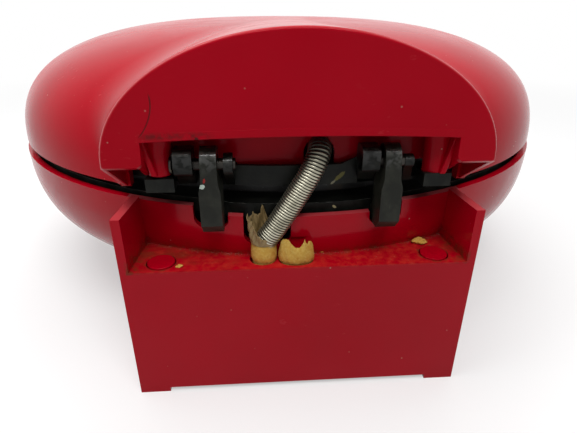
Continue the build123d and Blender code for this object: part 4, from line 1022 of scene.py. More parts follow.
@dataclass
class LidShell:
    """Domed lid with its rear hood, the recess for the hinge and the screw bosses in it."""

    rim_r: float = 139.3
    crown_z: float = 56.8
    power: float = 2.85
    rim_z: float = 4.6
    wall: float = 2.8
    rear_y: float = -147.3
    hood_half_w: float = 62.8
    spring_z: float = 19.2
    hood_rise: float = 40.0
    hood_fall: float = 3.2
    hood_run: float = 140.0
    tail_start: float = -40.0
    tail_run: float = 40.0
    tail_drop: float = 2.5
    fillet: float = 34.0
    fillet_gain: float = 1.6
    fillet_least: float = 0.02
    fillet_low_z: float = 8.0
    fillet_run_z: float = 26.0
    edge_r: float = 1.1
    cheek_z: float = 18.7
    cheek_y: float = -126.0
    cheek_wall: float = 1.5
    cheek_room_z: float = 33.0
    cheek_cut_z: float = 13.4
    cheek_gap_x: float = 60.2
    cheek_gap_y: float = -119.5
    low_fillet: float = 0.2
    mouth_half_w: float = 49.8
    mouth_z: float = 26.6
    mouth_bow: float = 1.2
    inner_y: float = -131.3
    inner_z: float = 14.6
    apron_z: float = 12.0
    front_y: float = -125.9
    boss_x: float = 46.6
    boss_y: float = -137.4
    boss_r: float = 4.2
    boss_z: float = 12.6
    boss_top: float = 34.0
    rib_x: tuple[float, float] = (52.4, 47.6)
    conduit_x: float = 7.15
    conduit_z: float = 17.6
    notch_half_w: float = 5.45
    tab_w: float = 5.8
    lens_x: float = 14.0
    lens_y: float = 96.0
    lens_r: float = 4.15
    lens_z: float = 50.0
    lens_deep: float = 40.0
    lip_past: float = 0.7
    lip_proud: float = 0.05
    lip_gap: float = 0.12
    lip_deep: float = 1.1
    lip_high: float = 2.5
    lip_round: float = 0.04
    cheek_inset: float = 1.6
    cheek_round: float = 2.2
    mouth_round: float = 0.5
    mouth_cuts: int = 23
    apron_left: float = -21.5
    apron_lap: float = 1.3
    boss_step: float = 0.6
    boss_taper: float = 0.35
    boss_sides: int = 40
    boss_round: float = 0.5
    rib_half: tuple[float, float] = (1.0, 3.2)
    rib_back: float = 2.6
    rib_slant: float = 0.6
    rib_round: float = 0.45
    tab_round: float = 1.6
    room_sides: int = 96
    room_gap: float = 1.0
    search: tuple[float, float] = (20.0, 330.0)
    halvings: int = 34
    segments: int = 600
    rings: int = 176

    def _dome(self, points: np.ndarray) -> tuple[np.ndarray, np.ndarray]:
        """Distance to the plain dome and the direction away from it, at points in millimetres."""
        radius = np.hypot(points[:, 0], points[:, 1]) + 1e-9
        height = np.abs(points[:, 2]) + 1e-9
        out, up = radius / self.rim_r, height / self.crown_z
        level = (out ** self.power + up ** self.power) ** (1 / self.power)
        by_radius = out ** (self.power - 1) / self.rim_r / level ** (self.power - 1)
        by_height = up ** (self.power - 1) / self.crown_z / level ** (self.power - 1)
        slope = np.stack([by_radius * points[:, 0] / radius, by_radius * points[:, 1] / radius, by_height], 1)
        size = np.linalg.norm(slope, axis=1)
        return (level - 1) / size, slope / size[:, None]

    def _hood(self, points: np.ndarray) -> tuple[np.ndarray, np.ndarray]:
        """Distance to the endless hood and the direction away from it."""
        run = points[:, 1] - self.rear_y
        spring = self.spring_z - self.hood_fall * run / self.hood_run
        past = np.maximum(points[:, 1] - self.tail_start, 0)
        spring = spring - self.tail_drop * (past / self.tail_run) ** 2
        over = np.maximum(np.abs(points[:, 2]) - spring, 0)
        level = np.hypot(points[:, 0] / self.hood_half_w, over / self.hood_rise) + 1e-9
        slope = np.stack([points[:, 0] / self.hood_half_w ** 2, np.zeros(len(points)),
                          over / self.hood_rise ** 2], 1) / level[:, None]
        size = np.linalg.norm(slope, axis=1) + 1e-9
        return (level - 1) / size, slope / size[:, None]

    def _distance(self, points: np.ndarray) -> np.ndarray:
        """Distance to the dome and the hood joined by a fillet, where they cross at an angle."""
        dome, out_dome = self._dome(points)
        hood, out_hood = self._hood(points)
        crossing = 1 - np.clip((out_dome * out_hood).sum(1), -1, 1)
        rise = np.clip((np.abs(points[:, 2]) - self.fillet_low_z) / self.fillet_run_z, 0, 1)
        strength = self.low_fillet + (1 - self.low_fillet) * rise
        width = self.fillet * np.clip(crossing * self.fillet_gain, self.fillet_least, 1.0) * strength
        share = np.maximum(width - np.abs(dome - hood), 0) / width
        return np.minimum(dome, hood) - share * share * width / 4

    def outer(self) -> bpy.types.Object:
        """Outside of the lid: a sphere whose points slide along their rays to the joined form."""
        Mesher.clear()
        bpy.ops.mesh.primitive_uv_sphere_add(segments=self.segments, ring_count=self.rings, radius=MM)
        piece = Mesher.name("lid_outer")
        rays = Bench.places(piece)
        rays /= np.linalg.norm(rays, axis=1)[:, None]
        low = np.full(len(rays), self.search[0])
        high = np.full(len(rays), self.search[1])
        for _ in range(self.halvings):
            middle = (low + high) / 2
            inside = self._distance(rays * middle[:, None]) < 0
            low = np.where(inside, middle, low)
            high = np.where(inside, high, middle)
        Bench.curved(rays * low[:, None], piece)
        Mesher.slice(piece, (0, self.rear_y + self.edge_r, 0), (0, -1, 0))
        Mesher.round_face(piece, lambda face: face.normal.y < -0.99 and face.area > 1e-3, self.edge_r)
        Mesher.slice(piece, (0, 0, self.rim_z), (0, 0, -1))
        rise, run = self.cheek_z - self.rim_z, self.cheek_y - self.rear_y
        Mesher.slice(piece, (0, self.cheek_y, self.rim_z), (0, -rise, -run))
        return piece

    def inner(self) -> bpy.types.Object:
        """Room inside the dome, ending at the wall of the recess."""
        outline = Bench.crown(self.rim_r - self.wall, self.crown_z - self.wall, self.power, 40)
        outline = [(radius, max(height, 0.0)) for radius, height in outline]
        piece = Bench.revolve("lid_inner", [*outline, (0, -10), (self.rim_r - self.wall, -10)], 160)
        Mesher.slice(piece, (0, self.inner_y + self.wall, 0), (0, -1, 0))
        return piece

    def _bowed(self, points: np.ndarray) -> np.ndarray:
        """Lifts the points over the rim along the bow of the mouth's upper edge."""
        lift = self.mouth_bow * (1 - (points[:, 0] / self.mouth_half_w) ** 2)
        points[:, 2] += np.where(points[:, 2] > 0, lift, 0)
        return points

    def mouth(self) -> bpy.types.Object:
        """Opening of the recess in the rear face, with its bowed upper edge."""
        return Bench.bar("lid_mouth", (-self.mouth_half_w, self.rear_y - 5, -9),
                         (self.mouth_half_w, self.rear_y + self.wall, self.mouth_z),
                         self.mouth_cuts, self._bowed)

    def cavity(self) -> bpy.types.Object:
        """Room under the hood, above and in front of the mouth."""
        Mesher.clear()
        bpy.ops.mesh.primitive_cylinder_add(
            vertices=self.room_sides, radius=MM, depth=(self.inner_y - self.rear_y - self.wall) * MM,
            location=(0, (self.inner_y + self.rear_y + self.wall) / 2 * MM, self.spring_z * MM),
            rotation=(math.pi / 2, 0, 0))
        piece = Mesher.name("lid_cavity")
        inset = self.wall + self.room_gap
        piece.scale = (self.hood_half_w - inset, self.hood_rise - inset, 1)
        Mesher.settle(piece)
        half = self.mouth_half_w + 0.07
        block = Mesher.box("lid_cavity_block", (-half, self.rear_y + self.wall - 0.53, -11),
                           (half, self.inner_y, 70))
        return Mesher.combine(piece, block, Way.KEEP_SHARED)

    def lower_room(self) -> bpy.types.Object:
        """Lower part of the recess, which runs further forward under the inner wall."""
        half = self.mouth_half_w - 0.09
        return Mesher.box("lid_lower_room", (-half, self.rear_y + self.wall - 1.1, -13),
                          (half, self.front_y, self.inner_z))

    def cheek_room(self, side: int) -> bpy.types.Object:
        """Hollow of a cheek, open below, between its outer wall and the mouth's side."""
        low, high = self.mouth_half_w + self.cheek_inset, self.hood_half_w - self.cheek_wall
        back = self.rear_y + self.cheek_inset
        outline = ((low, back), (high, back), (high, self.cheek_y - 0.6), (low, self.inner_y + 0.2))
        Mesher.clear()
        bpy.ops.mesh.primitive_circle_add(vertices=len(outline), radius=MM, fill_type="NGON")
        piece = Mesher.name("lid_cheek_room")
        for vertex, (x, y) in zip(piece.data.vertices, outline):
            vertex.co = (side * x * MM, y * MM, 0)
        Mesher.activate(piece)
        bpy.ops.object.mode_set(mode="EDIT")
        bpy.ops.mesh.select_all(action="SELECT")
        bpy.ops.mesh.extrude_region_move(TRANSFORM_OT_translate={"value": (0, 0, self.cheek_room_z * MM)})
        bpy.ops.object.mode_set(mode="OBJECT")
        return Mesher.tidy(piece, 0.001)

    def cheek_cut(self, side: int) -> bpy.types.Object:
        """Room where the mouth's side ends above the frame."""
        low, high = sorted((side * (self.mouth_half_w - 0.31), side * (self.mouth_half_w + 2.03)))
        return Mesher.box("lid_cheek_cut", (low, self.rear_y + 1.83, -12),
                          (high, self.inner_y + 0.7, self.cheek_cut_z))

    def cheek_gap(self, side: int) -> bpy.types.Object:
        """Gap between a cheek's hollow and the room inside the dome."""
        low, high = sorted((side * (self.mouth_half_w - 0.43), side * self.cheek_gap_x))
        return Mesher.box("lid_cheek_gap", (low, self.inner_y - 0.37, -12.7),
                          (high, self.cheek_gap_y, self.cheek_cut_z + 0.9))

    def boss(self, side: int) -> bpy.types.Object:
        """Round screw boss with a slanted rib to the side of the recess."""
        low = self.boss_z + self.boss_step * -side
        piece = Mesher.cylinder("lid_boss", (side * self.boss_x, self.boss_y, (low + self.boss_top) / 2),
                                self.boss_r, self.boss_top - low, sides=self.boss_sides,
                                top_radius=self.boss_r + self.boss_taper)
        Mesher.bevel_edges(piece, lambda a, b: a.z < low + 0.1 and b.z < low + 0.1, self.boss_round, 2)
        half_x, half_y = self.rib_half
        rib = Mesher.box("lid_boss_rib", (-half_x, -half_y, 0), (half_x, half_y, 1))
        points = Bench.places(rib)
        high = points[:, 2] > 0.5
        points[:, 0] += side * np.where(high, self.rib_x[0], self.rib_x[1])
        points[:, 1] += self.boss_y - self.rib_back - np.where(high, self.rib_slant, 0.0)
        points[:, 2] = np.where(high, self.boss_top - 1, low + 0.9)
        Bench.curved(points, rib)
        Mesher.bevel_edges(rib, lambda a, b: True, self.rib_round, 3)
        return Mesher.combine(piece, rib, Way.JOIN)

    def apron(self) -> list[bpy.types.Object]:
        """Lower edge of the inner wall beside the conduit, with its notch."""
        back, front = self.inner_y - 0.05, self.inner_y + self.wall - 0.4
        side, top = self.conduit_x + self.notch_half_w, self.inner_z + self.apron_lap
        left = Mesher.box("lid_apron", (self.apron_left, back, self.apron_z),
                          (self.conduit_x - self.notch_half_w, front, top))
        right = Mesher.box("lid_tab", (side, back, self.apron_z), (side + self.tab_w, front, top))
        Mesher.bevel_edges(right, lambda a, b: a.z < self.apron_z + 0.1 and b.z < self.apron_z + 0.1
                           and abs(a.x - b.x) < 0.1, self.tab_round, 4)
        return [left, right]

    def lip(self) -> bpy.types.Object:
        """Shallow bead along the mouth's upper edge."""
        half = self.mouth_half_w + self.lip_past
        bead = Bench.bar("lid_lip", (-half, self.rear_y - self.lip_proud, self.mouth_z + self.lip_gap),
                         (half, self.rear_y + self.lip_deep, self.mouth_z + self.lip_high),
                         self.mouth_cuts, self._bowed)
        Mesher.bevel_edges(bead, lambda a, b: a.y < self.rear_y and b.y < self.rear_y, self.lip_round, 3)
        return bead

    def build(self) -> bpy.types.Object:
        """Cuts and joins the lid shell.

        Returns:
            The lid shell at its place in the frame.
        """
        piece = self.outer()
        cheeks = [cut(side) for cut in (self.cheek_room, self.cheek_cut, self.cheek_gap) for side in (-1, 1)]
        for tool in [self.inner(), self.mouth(), self.cavity(), self.lower_room(), *cheeks]:
            Mesher.combine(piece, tool, Way.CUT)
        notch = Mesher.box("lid_notch", (self.conduit_x - self.notch_half_w, self.inner_y - 1, 0),
                           (self.conduit_x + self.notch_half_w, self.inner_y + self.wall + 1, self.conduit_z))
        centre = (self.conduit_x, self.inner_y + self.wall / 2, self.conduit_z)
        arch = Mesher.cylinder("lid_notch_top", centre, self.notch_half_w, self.wall + 2,
                               Axis.BACKWARDS, 32)
        Mesher.combine(piece, Mesher.combine(notch, arch, Way.JOIN), Way.CUT)
        for part in [self.boss(-1), self.boss(1), *self.apron(), self.lip()]:
            Mesher.combine(piece, part, Way.JOIN)
        for side in (-1, 1):
            hole = Mesher.cylinder("lid_lens_hole", (side * self.lens_x, self.lens_y, self.lens_z),
                                   self.lens_r, self.lens_deep)
            Mesher.combine(piece, hole, Way.CUT)
        piece.name = piece.data.name = "lid_moulding"
        Mesher.tidy(piece, 0.004)
        self.soften(piece)
        return Mesher.smooth(Bench.to_row(piece), 32)

    def soften(self, piece: bpy.types.Object) -> None:
        """Rounds the lower inner corners of the cheeks and the sides of the mouth."""
        slope = (self.cheek_z - self.rim_z) / (self.cheek_y - self.rear_y)

        def cheek_corner(a: Vector, b: Vector) -> bool:
            """Tells whether an edge lies along a cheek's lower inner corner."""
            return all(abs(abs(p.x) - self.mouth_half_w) < 0.12 and p.y < self.cheek_y - 1
                       and abs(p.z - self.cheek_z + slope * (p.y - self.rear_y)) < 0.08 for p in (a, b))

        def mouth_side(a: Vector, b: Vector) -> bool:
            """Tells whether an edge runs up a side of the mouth."""
            return all(abs(abs(p.x) - self.mouth_half_w) < 0.06 and p.y < self.rear_y + 0.05
                       and p.z < self.mouth_z + 0.3 for p in (a, b))

        Mesher.bevel_edges(piece, cheek_corner, self.cheek_round, 4)
        Mesher.bevel_edges(piece, mouth_side, self.mouth_round, 3)


@dataclass
class Ring:
    """A crumbling ring of rubber: an oval wall whose rim height changes round it."""

    title: str
    centre: tuple[float, float]
    half: tuple[float, float]
    foot: float
    rim: tuple[tuple[float, float], ...]
    profile: tuple[tuple[float, float], ...]
    rough: float = 0.16
    sides: int = 128
    seed: int = 5
    tear_counts: tuple[int, ...] = (9, 17, 31, 47)
    lump_counts: tuple[tuple[int, int], ...] = ((3, 4), (7, 9), (13, 5), (23, 14))
    lump_share: float = 0.35
    smooth_foot: float = 0.02

    def rim_height(self, turn: np.ndarray) -> np.ndarray:
        """Height of the rim at angles in degrees, between the stated ones, with small tears."""
        degrees = [a for a, _ in self.rim]
        heights = [z for _, z in self.rim]
        wanted = np.mod(turn, 360)
        smooth = np.interp(wanted, degrees + [degrees[0] + 360], heights + [heights[0]], period=360)
        draw = np.random.default_rng(self.seed)
        tears = sum(draw.uniform(0.3, 1.0) * np.abs(np.sin(np.radians(turn) * n / 2 + draw.uniform(0, 6)))
                    for n in self.tear_counts)
        return smooth - self.rough * tears

    def build(self) -> bpy.types.Object:
        """Lofts the wall from its closed profile and returns it about the bowl's axis."""
        rows = len(self.profile) - 1
        piece = Bench.tube(self.title, self.sides, rows)
        points = Bench.places(piece)
        turn = np.degrees(np.arctan2(points[:, 1], points[:, 0]))
        row = np.rint(points[:, 2] * rows).astype(int)
        out, share = np.array(self.profile)[row].T
        top = self.rim_height(turn)
        draw = np.random.default_rng(self.seed + 1)
        angle = np.radians(turn)
        lumps = sum(np.sin(angle * n + share * m + draw.uniform(0, 6)) for n, m in self.lump_counts)
        out = out + self.rough * self.lump_share * lumps * (share > self.smooth_foot)
        reach = np.array(self.half)[None, :] + out[:, None]
        points[:, 0] = self.centre[0] + reach[:, 0] * np.cos(angle)
        points[:, 1] = self.centre[1] + reach[:, 1] * np.sin(angle)
        points[:, 2] = self.foot + share * (top - self.foot)
        Bench.curved(points, piece)
        return Mesher.smooth(Bench.to_row(Mesher.tidy(piece, 0.003)), 50)


@dataclass
class TornFilm:
    """Thin torn sleeve that stands round the conduit's foot."""

    centre: tuple[float, float] = (-12.9, -140.3)
    lean: tuple[float, float] = (-0.02, 0.0)
    radius: float = 4.45
    flare: float = 0.045
    foot: float = -12.2
    thick: float = 0.3
    shallow: float = 0.93
    jags: tuple[Point, ...] = ((0.8, 17, 0), (0.6, 41, 1))
    jag_share: float = 0.7
    waves: tuple[Point, ...] = ((0.13, 7, 0.5), (0.07, 19, -0.9))
    wave_rise: float = 3.0
    least: float = 0.5
    first: float = 30.0
    last: float = 355.0
    rim: tuple[tuple[float, float], ...] = (
        (30, -10.0), (50, -8.5), (66, -6.0), (78, -3.0), (86, 0.2), (92, 1.2), (97, -1.5), (104, -2.6),
        (116, -3.0), (124, -2.2), (130, -1.4), (136, -2.6), (150, -2.9), (160, -2.2), (168, -2.9),
        (174, -1.5), (179, -0.6), (184, -2.4), (198, -3.2), (206, -2.6), (211, -2.3), (217, -3.8),
        (228, -4.6), (238, -5.8), (250, -7.4), (262, -8.8), (280, -9.6), (300, -9.6), (330, -9.2),
        (355, -9.6))
    columns: int = 240
    rows: int = 22

    def build(self) -> bpy.types.Object:
        """Bends a strip round the foot, tears its top and gives it a thickness."""
        piece = Bench.tube("conduit_film", self.columns, self.rows)
        Mesher.unpick(piece, Element.VERTEX)
        points = Bench.places(piece)
        turn = np.mod(np.degrees(np.arctan2(points[:, 1], points[:, 0])), 360)
        gap = (turn < self.first) | (turn > self.last)
        piece.data.vertices.foreach_set("select", gap)
        bpy.ops.object.mode_set(mode="EDIT")
        bpy.ops.mesh.delete(type="VERT")
        bpy.ops.object.mode_set(mode="OBJECT")
        points = Bench.places(piece)
        turn = np.mod(np.degrees(np.arctan2(points[:, 1], points[:, 0])), 360)
        share = points[:, 2]
        degrees, heights = np.array(self.rim).T
        angle = np.radians(turn)
        jag = sum(deep * np.abs(np.sin(angle * pace + start)) for deep, pace, start in self.jags)
        torn = np.interp(turn, degrees, heights)
        jag = jag * self.jag_share * np.clip((torn - self.foot - 2) / 4, 0.15, 1)
        top = np.maximum(torn - jag, self.foot + self.least)
        rise = share * (top - self.foot)
        wave = sum(deep * np.sin(angle * pace + rise * lean) for deep, pace, lean in self.waves)
        reach = self.radius + self.flare * rise + wave * np.minimum(rise, self.wave_rise)
        points[:, 0] = self.centre[0] + self.lean[0] * rise + reach * np.cos(angle)
        points[:, 1] = self.centre[1] + self.lean[1] * rise + reach * np.sin(angle) * self.shallow
        points[:, 2] = self.foot + rise
        Bench.curved(points, piece)
        Bench.paint(piece, "height", share)
        Mesher.apply(piece, "SOLIDIFY", thickness=self.thick * MM, offset=-1.0)
        Mesher.apply(piece, "SUBSURF", levels=1, render_levels=1)
        return Mesher.smooth(Bench.to_row(Mesher.tidy(piece, 0.001)), 60)


@dataclass
class Conduit:
    """Close-wound spring round the leads that rise from the stand into the lid, with its rubber foot."""

    wire_r: float = 0.44
    coil_r: float = 3.68
    pitch: float = 0.95
    steps: int = 28
    sides: int = 8
    core_r: float = 2.7
    core_cuts: tuple[int, int] = (24, 70)
    core_lobes: float = 0.12
    core_twist: float = 0.09
    hidden: float = 8.0
    line_order: int = 4
    line_steps: int = 12
    crumbs: tuple[tuple[str, Point, Point, int], ...] = (
        ("crumb_right", (47.2, -132.3, -18.5), (2.6, 1.9, 1.25), 3),
        ("crumb_left", (-42.9, -144.2, -19.0), (1.1, 0.8, 0.5), 8),
        ("crumb_middle", (8.6, -137.4, -18.9), (0.7, 0.6, 0.5), 12))
    crumb_waves: tuple[tuple[float, float], ...] = ((1.5, 0.13), (2.5, 0.1), (4.0, 0.07), (7.0, 0.05))
    crumb_pit: float = 0.5
    crumb_foot: float = 0.6
    bend_start: Point = (-9.0, -141.3, -8.0)
    bend_end: Point = (6.9, -135.2, 20.6)
    path: tuple[Point, ...] = (
        (-12.9, -140.1, -22.0), (-12.95, -140.1, -16.5), (-12.9, -140.2, -13.2), (-12.0, -140.5, -10.9),
        (-10.1, -140.8, -8.5), (-8.2, -140.9, -5.6), (-4.3, -140.9, 0.6), (-0.4, -140.5, 6.9),
        (2.7, -140.2, 11.9), (4.9, -139.6, 16.0), (6.3, -138.0, 19.3), (6.9, -135.2, 20.6),
        (7.1, -131.8, 19.6), (7.1, -128.0, 18.9), (7.1, -123.5, 18.9))

    def _line(self) -> bpy.types.Object:
        """Smooth line that the spring and the leads follow."""
        Mesher.clear()
        bpy.ops.curve.primitive_nurbs_path_add(location=(0, 0, 0))
        line = bpy.context.active_object
        spline = line.data.splines[0]
        spline.points.add(len(self.path) - len(spline.points))
        for point, place in zip(spline.points, self.path):
            point.co = (*(c * MM for c in place), 1.0)
        spline.order_u = self.line_order
        spline.use_endpoint_u = True
        spline.resolution_u = line.data.resolution_u = self.line_steps
        return line

    def _length(self, line: bpy.types.Object) -> float:
        """Length of the line in millimetres."""
        mesh = bpy.data.meshes.new_from_object(line)
        flat = np.empty(len(mesh.vertices) * 3)
        mesh.vertices.foreach_get("co", flat)
        bpy.data.meshes.remove(mesh)
        return float(np.linalg.norm(np.diff(flat.reshape(-1, 3), axis=0), axis=1).sum()) / MM

    def _follow(self, piece: bpy.types.Object, line: bpy.types.Object) -> bpy.types.Object:
        """Bends a piece that stands along Z onto the line."""
        Mesher.apply(piece, "CURVE", object=line, deform_axis="POS_Z")
        return Mesher.smooth(Bench.to_row(piece), 60)

    def spring(self, line: bpy.types.Object, length: float) -> bpy.types.Object:
        """Winds the wire and bends it onto the line."""
        Mesher.clear()
        bpy.ops.mesh.primitive_circle_add(vertices=self.sides, radius=self.wire_r * MM,
                                          location=(self.coil_r * MM, 0, 0), rotation=(math.pi / 2, 0, 0))
        piece = Mesher.settle(Mesher.name("conduit_winding"))
        Mesher.apply(piece, "SCREW", angle=math.tau, screw_offset=self.pitch * MM,
                     iterations=int((length - self.hidden) / self.pitch) - 1, steps=self.steps,
                     render_steps=self.steps, use_merge_vertices=False)
        Mesher.close_ends(piece, face_out=True)
        points = Bench.places(piece)
        crest = self.coil_r + self.wire_r
        depth = np.clip((crest - np.hypot(points[:, 0], points[:, 1])) / self.wire_r, 0, 1)
        Bench.paint(piece, "depth", depth)
        points[:, 2] += self.hidden
        Bench.paint(piece, "rise", points[:, 2] / length)
        Bench.curved(points, piece)
        return self._follow(piece, line)

    def leads(self, line: bpy.types.Object, length: float) -> bpy.types.Object:
        """Bundle of leads inside the spring."""
        piece = Bench.tube("conduit_bundle", *self.core_cuts)
        points = Bench.places(piece)
        turn = np.arctan2(points[:, 1], points[:, 0])
        twist = turn + points[:, 2] * length * self.core_twist
        reach = self.core_r * (1 - self.core_lobes + self.core_lobes * np.abs(np.cos(twist * 1.5)))
        points[:, 0], points[:, 1] = reach * np.cos(turn), reach * np.sin(turn)
        points[:, 2] *= length
        Bench.curved(points, piece)
        Mesher.close_ends(piece)
        return self._follow(piece, line)

    def sleeve(self) -> bpy.types.Object:
        """Left stub, which holds the conduit's foot."""
        return Ring("conduit_foot", (-12.95, -140.2), (4.55, 4.45), -21.3,
                    ((0, -10.9), (60, -10.6), (120, -10.5), (180, -10.7), (240, -10.9), (300, -11.1)),
                    ((-1.6, 0.0), (-0.5, 0.0), (-0.42, 0.14), (-0.3, 0.22), (0.0, 0.29), (0.16, 0.42),
                     (0.12, 0.55), (0.0, 0.7), (-0.16, 0.85), (-0.3, 0.96), (-0.6, 1.0), (-0.95, 0.99),
                     (-1.2, 0.95), (-1.4, 0.8), (-1.6, 0.5), (-1.6, 0.0)), 0.07).build()

    def gland(self) -> bpy.types.Object:
        """Right stub, torn open round the outlet of the mains cord."""
        return Ring("cord_stub", (-1.35, -141.8), (6.15, 3.5), -21.3,
                    ((0, -13.2), (30, -14.8), (90, -16.2), (150, -15.0), (180, -12.9), (192, -11.6),
                     (208, -9.9), (224, -9.4), (236, -9.6), (246, -10.8), (258, -12.0), (270, -12.8),
                     (280, -12.7), (288, -11.6), (294, -10.9), (298, -9.4), (304, -10.9), (312, -11.4),
                     (322, -10.5), (334, -10.9), (346, -12.2)),
                    ((-2.9, 0.0), (-0.7, 0.0), (-0.55, 0.12), (-0.3, 0.18), (0.05, 0.26), (0.2, 0.42),
                     (0.18, 0.58), (0.08, 0.72), (-0.05, 0.85), (-0.2, 0.95), (-0.45, 1.0), (-0.75, 0.99),
                     (-1.0, 0.9), (-1.25, 0.7), (-1.5, 0.5), (-2.0, 0.34), (-2.6, 0.3), (-2.9, 0.24),
                     (-2.9, 0.0)), 0.2, seed=11).build()

    def crumb(self, title: str, place: Point, size: Point, seed: int) -> bpy.types.Object:
        """A crumb of torn rubber with a pit in its top."""
        Mesher.clear()
        bpy.ops.mesh.primitive_ico_sphere_add(subdivisions=4, radius=MM)
        piece = Mesher.name(title)
        points = Bench.places(piece)
        draw = np.random.default_rng(seed)
        waves = [(draw.normal(size=3) * scale, draw.uniform(0, 6), share)
                 for scale, share in self.crumb_waves]
        swell = sum(np.sin(points @ way + start) * share for way, start, share in waves)
        near = np.exp(-((points[:, 0] - 0.1) ** 2 + points[:, 1] ** 2) * 9)
        pit = self.crumb_pit * near * (points[:, 2] > 0)
        points *= (1 + swell - pit)[:, None]
        points *= np.array(size)
        points[:, 2] = np.maximum(points[:, 2], -size[2] * self.crumb_foot)
        Bench.curved(points + np.array(place), piece)
        return Mesher.smooth(Bench.to_row(piece), 60)

    def build(self, shop: Shop) -> None:
        """Builds the conduit and dresses it: the spring and the leads get their finishes and hide their
        nodes, and the stubs, the film and the crumbs ride on the base.
        """
        line = self._line()
        length = self._length(line)
        spring, leads = self.spring(line, length), self.leads(line, length)
        bpy.data.objects.remove(line)
        for piece, slot, node in ((spring, "spring_steel", "conduit_spring"),
                                  (leads, "bundle_jacket", "conduit_leads")):
            shop.coat(piece, slot, node)
            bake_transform(piece)
        shop.dress(self.sleeve(), Body.BASE, "tan_rubber", "conduit_sleeve")
        shop.dress(self.gland(), Body.BASE, "tan_rubber", "cord_gland")
        shop.dress(TornFilm().build(), Body.BASE, "tan_rubber", material=OldFilm("old_film").material())
        for title, place, size, seed in self.crumbs:
            shop.dress(self.crumb(title, place, size, seed), Body.BASE, "tan_rubber")
        log.info("conduit: %.1f mm long", length)


class Sky(Board):
    """The node tree of the world."""

    def __init__(self, title: str) -> None:
        """Makes an empty world with an output."""
        world = bpy.data.worlds.new(title)
        bpy.context.scene.world = world
        world.use_nodes = True
        self.tree = world.node_tree
        self.tree.nodes.clear()
        self.output = self.tree.nodes.new("ShaderNodeOutputWorld")


@dataclass(frozen=True)
class Lamp:
    """A soft lamp: its place and aim in metres, the sides of its panel and its power."""

    title: str
    place: Point
    aim: Point
    sides: tuple[float, float]
    power: float

    def hang(self) -> None:
        """Adds the lamp, turned to its aim."""
        Mesher.clear()
        turn = (Vector(self.place) - Vector(self.aim)).to_track_quat("Z", "Y").to_euler()
        bpy.ops.object.light_add(type="AREA", location=self.place, rotation=turn)
        lamp = bpy.context.active_object
        lamp.name = lamp.data.name = self.title
        lamp.data.shape = "RECTANGLE"
        lamp.data.size, lamp.data.size_y = self.sides
        lamp.data.energy = self.power


